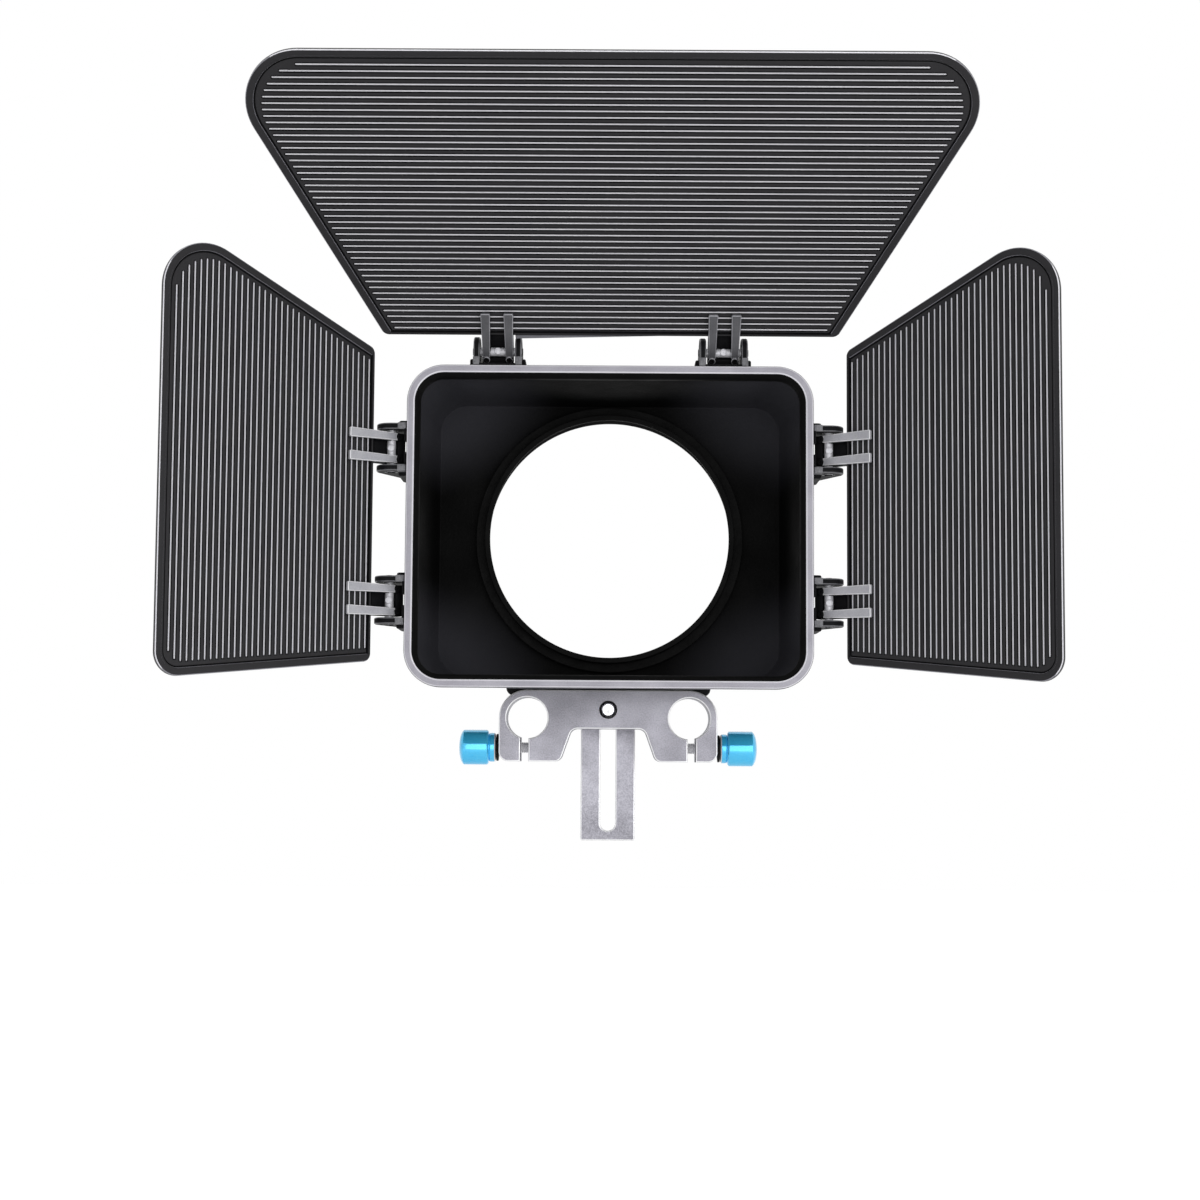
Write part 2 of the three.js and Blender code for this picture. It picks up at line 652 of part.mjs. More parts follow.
// In a hinge's own frame X runs along the pivot, Z out of the hood and Y to the rear, from the pivot
function makeHingeBracket() {
  const ear = new THREE.Shape();
  const wallSide = -pivotRise - overrun;
  const footEnd = footLength - footLead;
  const footTop = footRise - pivotRise;
  const tangent = Math.atan2(footTop, footEnd) + Math.acos(earRadius / Math.hypot(footEnd, footTop));
  ear.moveTo(-earRadius, wallSide);
  ear.lineTo(footEnd, wallSide);
  ear.lineTo(footEnd, footTop);
  ear.absarc(0, 0, earRadius, tangent, Math.PI, false);
  const profile = new THREE.ExtrudeGeometry(ear, {
    depth: earThickness,
    bevelEnabled: false,
    curveSegments: curveSteps,
  });
  profile.rotateX(quarterTurn);
  profile.rotateZ(quarterTurn);
  const ears = [-1, 1].map((sign) => {
    const copy = profile.clone();
    copy.translate(sign * (earGapHalf + earThickness / 2) - earThickness / 2, 0, 0);
    return solidOf(copy);
  });
  const outer = earGapHalf + earThickness + footOverhang;
  const footSpan = [-footLead, footEnd];
  const feet = [-1, 1].map((sign) => {
    const sides = [sign * earGapHalf, sign * outer].sort((a, b) => a - b);
    return block(sides, footSpan, [wallSide, footTop]);
  });
  const bridgeWidth = [-earGapHalf - seatGap, earGapHalf + seatGap];
  const bridgeSpan = [footEnd - bridgeLength, footEnd];
  const bridge = block(bridgeWidth, bridgeSpan, [wallSide, bridgeRise - pivotRise]);
  const bore = bar(pivotBore, [-outer - overrun, 0, 0], [outer + overrun, 0, 0]);
  return cut(join(...ears, ...feet, bridge), bore);
}

function makeHingePin() {
  const half = earGapHalf + earThickness + pinEndShow;
  const shaft = bar(pinRadius, [-half, 0, 0], [half, 0, 0]);
  const screwEnd = bar(pinScrewRadius, [0, 0, 0], [0, -pinRadius - pinScrewRise, 0]);
  return join(shaft, screwEnd);
}

// In a clip's own frame Z runs along the flag away from the pivot and Y to its rear side
function makeClip(prongTip) {
  const prongRear = flagFront - clipSlotClearance;
  const prongFront = prongRear - prongThickness;
  const plateFront = flagBack + clipSlotClearance;
  const plateRear = plateFront + clipPlateThickness;
  const rootRadius = prongRootWidth / 2;
  const rootEnd = -prongRoot - rootRadius;
  const parts = [-1, 1].flatMap((sign) => {
    const prong = new THREE.Shape();
    const middle = sign * prongOffset;
    prong.absarc(middle, -prongRoot, rootRadius, Math.PI, 2 * Math.PI, false);
    prong.lineTo(middle + prongTipWidth / 2, prongTip);
    prong.lineTo(middle - prongTipWidth / 2, prongTip);
    const webSides = [sign * clipWebInner, sign * clipPlateHalfWidth].sort((a, b) => a - b);
    return [
      slab(prong, prongRear, prongThickness),
      block(webSides, [prongRear - seatGap, plateRear], [-prongRoot, clipWebEnd]),
    ];
  });
  const width = [-clipPlateHalfWidth, clipPlateHalfWidth];
  const crossbar = block(width, [prongRear - seatGap, plateRear], [rootEnd, rootEnd + crossbarDepth]);
  const plate = block(width, [plateFront, plateRear], [rootEnd, prongTip]);
  const backingWidth = [-clipWebInner - seatGap, clipWebInner + seatGap];
  const backing = block(backingWidth, [flagBack, plateRear], [0, clipWebEnd]);
  const bore = bar(pivotBore, [-clipPlateHalfWidth - overrun, 0, 0], [clipPlateHalfWidth + overrun, 0, 0]);
  const rootHoles = [-1, 1].map((sign) =>
    bar(
      rootHoleRadius,
      [sign * prongOffset, prongFront - overrun, -prongRoot],
      [sign * prongOffset, prongFront + rootHoleDepth, -prongRoot],
    ),
  );
  return cut(join(parts[1], parts[0], parts[2], parts[3], crossbar, plate, backing), bore, ...rootHoles);
}

// Where a straight cut at height z enters and leaves an outline
function spanAt(outline, z) {
  const points = outline.getPoints(curveSteps);
  const crossings = [];
  points.forEach((point, i) => {
    const next = points[(i + 1) % points.length];
    if (point.y > z === next.y > z) return;
    const share = (z - point.y) / (next.y - point.y);
    crossings.push(THREE.MathUtils.lerp(point.x, next.x, share));
  });
  return crossings.sort((a, b) => a - b);
}

// A flag: plate, raised border and ribs that run along the hinge
function makeFlag(corners, rib) {
  const plate = slab(roundedOutline(corners), flagBack, flagPlateThickness);
  const frame = slab(roundedOutline(corners), flagBack, flagThickness);
  const inside = roundedOutline(corners, flagBorder, flagRootBorder);
  const hollow = slab(inside, flagBack - flagPlateThickness, overrun);
  const field = roundedOutline(corners, flagBorder + ribMargin, flagRootBorder);
  const ribs = [];
  for (let i = 0; i < rib.count; i++) {
    const z = rib.first + i * rib.pitch;
    const ends = spanAt(field, z);
    if (ends.length < 2) continue;
    const across = [z - ribWidth / 2, z + ribWidth / 2];
    ribs.push(block([ends[0], ends[ends.length - 1]], [flagFront, 0], across));
  }
  return join(plate, cut(frame, hollow), ...ribs);
}

// The corners of a flag whose two ends, at low and at high X, have sizes of their own
function flagCorners(low, high, root, reach) {
  return [
    [-low.rootHalf, root, flagRootCorner],
    [high.rootHalf, root, flagRootCorner],
    [high.farHalf, reach, high.corner],
    [-low.farHalf, reach, low.corner],
  ];
}

const topEnd = { rootHalf: topFlagRootHalf, farHalf: topFlagFarHalf, corner: topFlagCorner };
const sideTop = { rootHalf: sideFlagRootTop, farHalf: sideFlagFarTop, corner: sideFlagTopCorner };
const sideBottom = {
  rootHalf: sideFlagRootBottom,
  farHalf: sideFlagFarBottom,
  corner: sideFlagBottomCorner,
};

// A smooth lip on the near edge of the upper flag, which runs out to nothing
function makeLip() {
  const lip = new THREE.Shape();
  lip.moveTo(-lipStart, topFlagRoot - lipHeight);
  lip.lineTo(lipEnd, topFlagRoot);
  lip.lineTo(lipEnd, topFlagRoot + seatGap);
  lip.lineTo(-lipStart, topFlagRoot + seatGap);
  return slab(lip, flagBack, flagPlateThickness);
}

const topRibs = { count: topRibCount, first: topRibFirst, pitch: topRibPitch };
const sideRibs = { count: sideRibCount, first: sideRibFirst, pitch: sideRibPitch };
const pivotX = hoodWidth / 2 + pivotRise;
const pivotZ = hoodBottom + hoodHeight + pivotRise;

// The left flag's X runs up and the right flag's X runs down
const stations = [
  {
    flag: "top_flag",
    place: [0, pivotY, pivotZ],
    turn: 0,
    lean: topLean,
    corners: flagCorners(topEnd, topEnd, topFlagRoot, topFlagReach),
    ribs: topRibs,
    extra: [makeLip()],
    prongTip: topProngTip,
    hinges: { top_left: -topHingeX, top_right: topHingeX },
  },
  {
    flag: "left_flag",
    place: [-pivotX, pivotY, lensAxisHeight],
    turn: -quarterTurn,
    lean: sideLean,
    corners: flagCorners(sideBottom, sideTop, sideFlagRoot, sideFlagReach),
    ribs: sideRibs,
    extra: [],
    prongTip: sideProngTip,
    hinges: { left_upper: sideHingeZ, left_lower: -sideHingeZ },
  },
  {
    flag: "right_flag",
    place: [pivotX, pivotY, lensAxisHeight],
    turn: quarterTurn,
    lean: sideLean,
    corners: flagCorners(sideTop, sideBottom, sideFlagRoot, sideFlagReach),
    ribs: sideRibs,
    extra: [],
    prongTip: sideProngTip,
    hinges: { right_upper: -sideHingeZ, right_lower: sideHingeZ },
  },
];

// The part of the hood that the hinge brackets are shaped to, in the frame of one side
function hoodSeen(place, turn) {
  const seat = hoodBlock(shellInset - seatGap, rimRear, shellRear);
  const rim = taperedBlock(rimSize(-seatGap, rimFront - overrun), rimSize(-seatGap, rimRear + seatGap));
  const data = join(seat, rim).getMesh();
  const geometry = new THREE.BufferGeometry();
  geometry.setAttribute("position", new THREE.BufferAttribute(data.vertProperties, 3));
  geometry.setIndex(new THREE.BufferAttribute(data.triVerts, 1));
  geometry.translate(...place.map((value) => -value));
  geometry.rotateY(-turn);
  return geometry;
}

for (const station of stations) {
  const side = new THREE.Group();
  side.position.set(...station.place);
  side.rotation.y = station.turn;
  const leaf = new THREE.Group();
  leaf.rotation.x = THREE.MathUtils.degToRad(station.lean);
  const flag = join(makeFlag(station.corners, station.ribs), ...station.extra);
  leaf.add(piece(station.flag, flag, flagPlastic));
  for (const [hinge, x] of Object.entries(station.hinges)) {
    const hood = hoodSeen(station.place, station.turn);
    hood.translate(-x, 0, 0);
    const bracket = piece(hinge + "_hinge_bracket", cut(makeHingeBracket(), solidOf(hood)), blackPlastic);
    bracket.position.x = x;
    side.add(bracket);
    const pin = piece(hinge + "_hinge_pin", makeHingePin(), brightSteel);
    const clip = piece(hinge + "_flag_clip", makeClip(station.prongTip), clipPlastic);
    pin.position.x = x;
    clip.position.x = x;
    leaf.add(pin, clip);
  }
  side.add(leaf);
  matteBox.add(side);
}

export default matteBox;
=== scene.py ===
# %% [markdown]
# # A matte box for a camera on two rods
# A matte box shades a camera's lens. Its hood stands round the lens, three ribbed flags swing on
# clip hinges at the hood's edge, and a slotted arm under the hood slides on a clamp that grips two
# rods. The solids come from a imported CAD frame. They could be shown as they are, but their curves
# are cut in straight steps and their edges are sharp. So each piece is made again in the same place
# and at the same size, with the small chamfers that catch the light and a surface of its own.

# %% Load the frame
import math

import bmesh
import bpy
from mathutils import Matrix, Vector


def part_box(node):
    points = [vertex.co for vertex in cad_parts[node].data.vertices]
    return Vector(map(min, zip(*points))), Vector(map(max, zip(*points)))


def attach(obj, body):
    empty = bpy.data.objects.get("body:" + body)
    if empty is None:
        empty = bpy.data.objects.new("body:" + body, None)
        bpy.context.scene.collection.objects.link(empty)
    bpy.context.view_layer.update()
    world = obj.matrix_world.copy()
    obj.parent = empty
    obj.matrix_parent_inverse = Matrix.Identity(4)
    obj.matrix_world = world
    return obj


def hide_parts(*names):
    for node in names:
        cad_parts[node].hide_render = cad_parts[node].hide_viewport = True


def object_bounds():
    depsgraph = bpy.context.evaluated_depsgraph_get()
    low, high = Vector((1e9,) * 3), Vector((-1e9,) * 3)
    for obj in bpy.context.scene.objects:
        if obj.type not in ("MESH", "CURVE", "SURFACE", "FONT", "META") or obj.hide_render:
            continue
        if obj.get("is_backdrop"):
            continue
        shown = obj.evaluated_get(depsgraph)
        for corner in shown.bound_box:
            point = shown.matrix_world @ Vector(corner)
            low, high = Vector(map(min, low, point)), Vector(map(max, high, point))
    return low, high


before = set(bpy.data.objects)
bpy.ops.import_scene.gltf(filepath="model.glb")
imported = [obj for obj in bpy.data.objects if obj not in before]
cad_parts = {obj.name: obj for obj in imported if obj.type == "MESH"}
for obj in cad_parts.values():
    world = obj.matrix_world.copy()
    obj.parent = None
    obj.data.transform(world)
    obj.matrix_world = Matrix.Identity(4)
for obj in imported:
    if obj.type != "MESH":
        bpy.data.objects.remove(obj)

cad_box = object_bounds()

# %% [markdown]
# ## Units and places
# Blender works in metres and a maker thinks in millimetres. The meshes are drawn in millimetres and
# made smaller by one factor at the end. The frame says where each solid lies, so a place is
# read from it and not typed again.

# %% Millimetres and the boxes of the solids
MM = 0.001


def span(node):
    """The lowest and highest corner of a CAD solid, in millimetres."""
    low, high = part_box(node)
    return low / MM, high / MM


def middle(node):
    """The middle of a CAD solid's box, in millimetres."""
    low, high = span(node)
    return (low + high) / 2


clamp_low, clamp_high = span("rod_clamp_bracket")
print("clamp:", [round(side, 2) for side in clamp_high - clamp_low], "mm")

# %% [markdown]
# ## Drawing an outline
# Most pieces are plates: an outline that is cut out and pushed up to a thickness. An outline could be
# a long list of points, but its round corners would then be hard to change. Here a corner is a place
# with a radius, and the spin operator turns one vertex round the middle of the corner, which leaves
# the arc behind it. A larger arc, such as a bore, is a turn about its own middle.

# %% Outlines from corners and turns
ARC_DEGREES = 5  # one straight step of an arc
HOLE_STEPS = 64  # straight steps round a drilled hole
WELD = 0.0005  # vertices closer than this, in millimetres, are one


def headings(before, corner, after):
    """The directions in which an outline comes to a corner and leaves it."""
    here = Vector(corner[:2])
    return (here - Vector(before[:2])).normalized(), (Vector(after[:2]) - here).normalized()


def corner_turn(before, corner, after):
    """Where the arc of a rounded corner starts, its middle, and how far it turns in degrees."""
    x, y, radius = corner
    into, out = headings(before, corner, after)
    turn = math.atan2(into.x * out.y - into.y * out.x, into.dot(out))
    start = Vector((x, y)) - into * radius * math.tan(abs(turn) / 2)
    side = Vector((-into.y, into.x)) * math.copysign(radius, turn)
    return start, start + side, math.degrees(turn)


def turn_pen(bm, pen, centre, degrees, step):
    """Spins the vertex at the pen's place about a centre and returns the last vertex."""
    steps = max(2, round(abs(degrees) / step))
    made = bmesh.ops.spin(
        bm, geom=[pen], cent=(*centre, 0), axis=(0, 0, 1), angle=math.radians(degrees), steps=steps
    )
    return made["geom_last"][0]


def draw(bm, path, step=ARC_DEGREES):
    """Draws a closed outline: (x, y) is a sharp corner, (x, y, radius) a round one, and
    ("turn", x, y, degrees) an arc about that point from where the pen stands."""
    first = pen = None
    for i, point in enumerate(path):
        if point[0] == "turn":
            pen = turn_pen(bm, pen, point[1:3], point[3], step)
            continue
        rounded = len(point) == 3
        if rounded:
            start, centre, degrees = corner_turn(path[i - 1], point, path[(i + 1) % len(path)])
        spot = bm.verts.new((*(start if rounded else point), 0))
        if pen:
            bm.edges.new((pen, spot))
        first = first or spot
        pen = turn_pen(bm, spot, centre, degrees, step) if rounded else spot
    bm.edges.new((pen, first))


def rectangle(width, height, radius, centre=(0, 0)):
    """The corners of a rounded rectangle."""
    signs = ((-1, -1), (1, -1), (1, 1), (-1, 1))
    return [(centre[0] + x * width / 2, centre[1] + y * height / 2, radius) for x, y in signs]


print("one arc step:", ARC_DEGREES, "degrees")

# %% [markdown]
# ## From an outline to a plate
# Filling one outline gives a face, and a second outline inside it leaves a hole. The face is
# extruded to the plate's thickness. The rim of a machined or moulded plate is never quite sharp, so
# the edges between its faces and its walls are bevelled: that narrow strip is what draws a bright
# line round each piece.

# %% Small steps that many pieces share
EDGE_SEGMENTS = 2


def faces_of(geom):
    """The faces among the elements that an operator made."""
    return [element for element in geom if isinstance(element, bmesh.types.BMFace)]


def verts_of(geom):
    """The vertices among the elements that an operator made."""
    return [element for element in geom if isinstance(element, bmesh.types.BMVert)]


def open_edges(bm):
    """The edges round a mesh's holes."""
    return [edge for edge in bm.edges if edge.is_boundary]


def circle(bm, radius, place, segments=HOLE_STEPS):
    """Adds a circle and returns its edges."""
    made = bmesh.ops.create_circle(bm, cap_ends=False, segments=segments, radius=radius, matrix=place)
    return list({edge for vert in made["verts"] for edge in vert.link_edges})


def lift(bm, verts, height):
    """Moves vertices along Z."""
    bmesh.ops.translate(bm, verts=verts, vec=(0, 0, height))


def push(bm, edges, height):
    """Extrudes edges along Z and returns what that makes."""
    made = bmesh.ops.extrude_edge_only(bm, edges=edges)["geom"]
    lift(bm, verts_of(made), height)
    return made


def fill(bm, edges):
    """Fills the room between outlines and returns the new faces."""
    made = bmesh.ops.triangle_fill(bm, edges=edges, use_beauty=True, use_dissolve=True, normal=(0, 0, 1))
    return faces_of(made["geom"])


def fill_one(bm):
    """Fills the only outline with one face that looks up."""
    bmesh.ops.contextual_create(bm, geom=bm.edges[:])
    face = bm.faces[:][0]
    face.normal_update()
    if face.normal.z < 0:
        face.normal_flip()
    return face


def turn_out(bm):
    """Makes all faces look outwards."""
    bmesh.ops.recalc_face_normals(bm, faces=bm.faces[:])


def bevel(bm, edges, size):
    """Bevels some edges by a size."""
    bmesh.ops.bevel(
        bm, geom=edges, offset=size, offset_type="OFFSET", affect="EDGES", segments=EDGE_SEGMENTS,
        profile=0.5, loop_slide=False, clamp_overlap=False, material=-1,
    )


def paint(faces, choice):
    """Gives faces a material by its number, which may also come from a function of the face."""
    for face in faces:
        face.material_index = int(choice(face) if callable(choice) else choice)


print("edges are bevelled in", EDGE_SEGMENTS, "steps")

# %% Plates and blocks


def is_rim(edge):
    """Whether an edge lies between a flat face and a wall of a plate."""
    if len(edge.link_faces) != 2:
        return False
    flats = sorted(abs(face.normal.z) for face in edge.link_faces)
    return flats[0] < 0.5 and flats[1] > 0.9


def shade(bm, edge_index=0):
    """Smooth shading on walls and strips, flat shading on the faces along Z, and a material for the
    strips of a bevel."""
    bm.normal_update()
    for face in bm.faces:
        steep = abs(face.normal.z)
        face.smooth = steep < 0.99
        if edge_index and 0.15 < steep < 0.97:
            face.material_index = edge_index


def plate(path, low, high, edge=0.0, holes=(), cutouts=(), edge_index=0):
    """A plate between two heights: its outline, round holes (x, y, radius) and drawn cutouts. The
    strips of its bevelled rims may take another material."""
    bm = bmesh.new()
    draw(bm, path)
    for cutout in cutouts:
        draw(bm, cutout)
    for x, y, radius in holes:
        circle(bm, radius, Matrix.Translation((x, y, 0)))
    bmesh.ops.remove_doubles(bm, verts=bm.verts[:], dist=WELD)
    fill(bm, bm.edges[:])
    lift(bm, bm.verts[:], low)
    made = bmesh.ops.extrude_face_region(bm, geom=bm.faces[:])
    lift(bm, verts_of(made["geom"]), high - low)
    turn_out(bm)
    if edge:
        bevel(bm, [e for e in bm.edges if is_rim(e)], edge)
    shade(bm, edge_index)
    return bm


def brick(low, high, edge):
    """A block between two corners with all its edges bevelled."""
    bm = bmesh.new()
    low, high = Vector(low), Vector(high)
    place = Matrix.Translation((low + high) / 2) @ Matrix.Diagonal((*(high - low), 1))
    bmesh.ops.create_cube(bm, size=1, matrix=place)
    bevel(bm, bm.edges[:], edge)
    shade(bm)
    return bm


def gather(*parts):
    """Puts several meshes into the first and returns it."""
    whole, *others = parts
    for other in others:
        mesh = bpy.data.meshes.new("gathered")
        other.to_mesh(mesh)
        other.free()
        whole.from_mesh(mesh)
        bpy.data.meshes.remove(mesh)
    return whole


print("holes have", HOLE_STEPS, "steps")

# %% [markdown]
# ## Turned pieces
# Knobs, screws, washers, pins and the lens ring are turned on a lathe or moulded round. The lathe of
# bmesh is spin: half of the cross-section is drawn once, as radius and height, and turned a full
# round. A full spin meets itself, so it is merged there, and its normals are worked out again,
# because a spin doesn't know which side is out.

# %% Spinning a profile
TURNED_STEPS = 96
SMALL_STEPS = 48  # round a small piece
TINY_STEPS = 32  # and round a tiny one
SHARP_DEGREES = 32  # edges that fold more than this stay sharp in the shading


def fold(edge):
    """How far the two faces of an edge fold, in degrees."""
    return math.degrees(edge.calc_face_angle(0)) if len(edge.link_faces) == 2 else 0


def sharp_edges(bm, degrees=SHARP_DEGREES):
    """The edges that fold more than an angle."""
    return [edge for edge in bm.edges if fold(edge) > degrees]


def turned(profile, edge=0.0, steps=TURNED_STEPS):
    """Turns a profile of (radius, height) points round Z."""
    bm = bmesh.new()
    verts = [bm.verts.new((radius, 0, height)) for radius, height in profile]
    edges = [bm.edges.new(pair) for pair in zip(verts, verts[1:])]
    bmesh.ops.spin(
        bm, geom=verts + edges, cent=(0, 0, 0), axis=(0, 0, 1), angle=math.tau, steps=steps, use_merge=True
    )
    bmesh.ops.remove_doubles(bm, verts=bm.verts[:], dist=WELD)
    turn_out(bm)
    if edge:
        bevel(bm, sharp_edges(bm), edge)
    shade(bm)
    return bm


def facing(point, direction):
    """The place of a turned piece that stands at a point, with its axis along a direction."""
    turn = Vector(direction).to_track_quat("Z", "Y").to_matrix().to_4x4()
    return Matrix.Translation(point) @ turn


UPRIGHT = Matrix.Rotation(math.pi / 2, 4, "X")  # a drawn plate's Y runs up and its top faces the subject
print("turned pieces have", TURNED_STEPS, "steps")

# %% [markdown]
# ## Colours and nodes
# A colour picked from a screen is an sRGB value, while Blender's shaders work with light, which is
# linear. One function turns the hex value. A second one adds a node, sets what is given as a value
# and links what is given as a socket, so that each surface below reads as a short recipe.

# %% Colour and node helpers


def colour(code):
    """An sRGB hex colour as linear red, green, blue and alpha."""
    shares = [int(code[i:i + 2], 16) / 255 for i in (1, 3, 5)]
    linear = [s / 12.92 if s <= 0.04045 else ((s + 0.055) / 1.055) ** 2.4 for s in shares]
    return (*linear, 1)


def add_node(tree, kind, inputs=None, **settings):
    """Adds a shader node to a tree, with its settings, its values and its links."""
    node = tree.nodes.new("ShaderNode" + kind)
    for name, value in settings.items():
        setattr(node, name, value)
    for name, value in (inputs or {}).items():
        if isinstance(value, bpy.types.NodeSocket):
            tree.links.new(value, node.inputs[name])
        else:
            node.inputs[name].default_value = value
    return node


def per_metre(size_mm):
    """The scale of a pattern whose grains have this size."""
    return 1 / (size_mm * MM)


def gloss(level):
    """The shader's own socket for how strongly a plastic's surface mirrors, 0.5 for a bare one."""
    return {"Specular IOR Level": level}


def surface(
    name, dark, light, roughness, metallic=0.0, mottle_mm=6.0, grain_mm=0.4, relief_mm=0.01, **extra
):
    """A surface whose colour drifts between two hex values, with a roughness from a low to a high
    value and a fine grain that stands relief_mm high. Extra values go to the shader as they are."""
    material = bpy.data.materials.new(name)
    material.use_nodes = True
    tree = material.node_tree
    shader = tree.nodes["Principled BSDF"]
    for socket, value in {"Metallic": metallic, **extra}.items():
        shader.inputs[socket].default_value = value
    where = add_node(tree, "TexCoord").outputs["Object"]
    patterns = ((per_metre(mottle_mm), 3.0), (per_metre(grain_mm), 2.0))
    mottle, grain = (
        add_node(tree, "TexNoise", {"Vector": where, "Scale": scale, "Detail": detail}).outputs["Fac"]
        for scale, detail in patterns
    )
    both = add_node(tree, "Math", {0: mottle, 1: grain}, operation="ADD").outputs[0]
    share = add_node(tree, "MapRange", {"Value": both, "From Min": 0.7, "From Max": 1.3}).outputs["Result"]
    tints = {"Factor": share, "A": colour(dark), "B": colour(light)}
    tint = add_node(tree, "Mix", tints, data_type="RGBA")
    polish = add_node(tree, "MapRange", {"Value": share, "To Min": roughness[1], "To Max": roughness[0]})
    bump = add_node(tree, "Bump", {"Height": grain, "Distance": relief_mm * MM, "Strength": 1.0})
    tree.links.new(tint.outputs["Result"], shader.inputs["Base Color"])
    tree.links.new(polish.outputs["Result"], shader.inputs["Roughness"])
    tree.links.new(bump.outputs["Normal"], shader.inputs["Normal"])
    return material


print("black plastic in linear light:", [round(c, 4) for c in colour("#131315")[:3]])

# %% [markdown]
# ## Finishing a piece
# A finished mesh gets smooth shading that stays sharp at real edges. Its object stays at the origin,
# with its place in the mesh, as the frame's solids have it. It rides on a body of the frame and stands
# for the solid that it covers.

# %% From a mesh to a piece that rides


def add_object(name, data):
    """Puts a mesh, a lamp or a camera into the scene."""
    thing = bpy.data.objects.new(name, data)
    bpy.context.scene.collection.objects.link(thing)
    return thing


def add_mesh(name, bm, materials):
    """Makes an object of a bmesh."""
    mesh = bpy.data.meshes.new(name)
    bm.to_mesh(mesh)
    bm.free()
    for material in materials:
        mesh.materials.append(material)
    return add_object(name, mesh)


def finish(bm, node, body, materials, place=Matrix()):
    """Makes the piece that stands for a CAD solid."""
    bm.transform(Matrix.Scale(MM, 4) @ place)
    for edge in bm.edges:
        edge.smooth = fold(edge) < SHARP_DEGREES
    piece = add_mesh("fine_" + node, bm, materials)
    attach(piece, body)
    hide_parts(node)
    print(piece.name + ":", len(piece.data.polygons), "faces")


# %% [markdown]
# ## Bead-blasted aluminium
# The clamp and the arm are cut from aluminium plate, blasted with fine glass beads and anodised
# grey. Blasting breaks the mirror of the metal into tiny dents, so the face looks even and slightly
# sparkling at every angle. The dents are about 0.05 mm on the real plate and are drawn at 0.5 mm,
# because finer ones wouldn't show. The chamfers get a near-white painted highlight, and a black that
# is painted shade goes into the lock screw's hole and onto the arm's head.

# %% The grey of the clamp and the arm
blasted_aluminium = surface(
    "bead_blasted_aluminium", "#838289", "#9b9aa2", (0.4, 0.55), 0.85,
    mottle_mm=14, grain_mm=0.5, relief_mm=0.03,
)
# The chamfers' near white is a painted highlight, a bright line along each edge.
chamfer_highlight_aluminium = surface(
    "aluminium_chamfer_painted_highlight", "#f0f0f3", "#f6f6f8", (0.3, 0.4), 0.4, grain_mm=0.5, relief_mm=0.004
)
# This black is painted shade: the shadow in the lock screw's hole and the shade on the arm's head.
shade_black_aluminium = surface(
    "aluminium_painted_shade_black", "#0e0e10", "#161618", (0.4, 0.5), 0.5,
    mottle_mm=14, grain_mm=0.5, **gloss(0.3),
)
print(blasted_aluminium.name, chamfer_highlight_aluminium.name, shade_black_aluminium.name)

# %% [markdown]
# ## Blue anodised and bare metals
# The knobs are turned from aluminium and anodised a glossy blue: a clear coloured layer over metal,
# so the reflections are blue, with a paler gleam from the layer's own surface. The screws, the pins
# and a narrow turned face of each knob are bare bright metal.

# %% The knobs' blue and the bright metals
blue_aluminium = surface(
    "blue_anodised_aluminium", "#40c6ff", "#50d0ff", (0.06, 0.12), 0.35, mottle_mm=12, grain_mm=0.6,
    relief_mm=0.0006, **{"Coat Weight": 0.6, "Coat Roughness": 0.04},
)
bright_steel = surface(
    "bright_steel", "#e6e6ea", "#f4f4f6", (0.22, 0.34), 1, mottle_mm=2, grain_mm=0.3, relief_mm=0.001
)
satin_steel = surface(
    "satin_steel", "#cacad0", "#dfdfe4", (0.5, 0.6), 0.25, mottle_mm=3, grain_mm=0.3, relief_mm=0.004
)
plated_steel = surface(
    "zinc_plated_steel", "#f0f0f3", "#f8f8fa", (0.35, 0.45), 0.25, mottle_mm=3, grain_mm=0.3, relief_mm=0.002
)
print(blue_aluminium.name, bright_steel.name, satin_steel.name, plated_steel.name)

# %% [markdown]
# ## Black plastics
# The hood is moulded in a textured tool, which leaves a fine leather grain that takes the shine off
# the wall. The ring, the hinges and the washers are smoother mouldings. Black plastic shows its form
# by its gloss alone, so the roughness matters more than the colour. Inside the hood, a paler colour
# is painted into the corners as a sheen.

# %% The hood's grained plastic
LEATHER_MM = 1.1  # from one pebble of the grain to the next
LEATHER_RELIEF = 0.12
CORNER_HALVES = (62, 40, 48)  # from the hood's middle to its walls; the depth isn't used

hood_plastic, hood_inside = (
    surface(name, "#040404", "#090909", (0.55, 0.7), mottle_mm=14, grain_mm=0.5, **gloss(0.05))
    for name in ("black_hood_plastic", "black_hood_inside")
)


def add_leather(material):
    """Puts pebbles with narrow valleys under the grain that is there already."""
    tree = material.node_tree
    where = tree.nodes["Texture Coordinate"].outputs["Object"]
    pattern = {"Vector": where, "Scale": per_metre(LEATHER_MM)}
    pebbles = add_node(tree, "TexVoronoi", pattern, feature="SMOOTH_F1")
    relief = {"Height": pebbles.outputs["Distance"], "Distance": LEATHER_RELIEF * MM, "Strength": 0.6}
    skin = add_node(tree, "Bump", relief, invert=True)
    tree.links.new(skin.outputs["Normal"], tree.nodes["Bump"].inputs["Normal"])


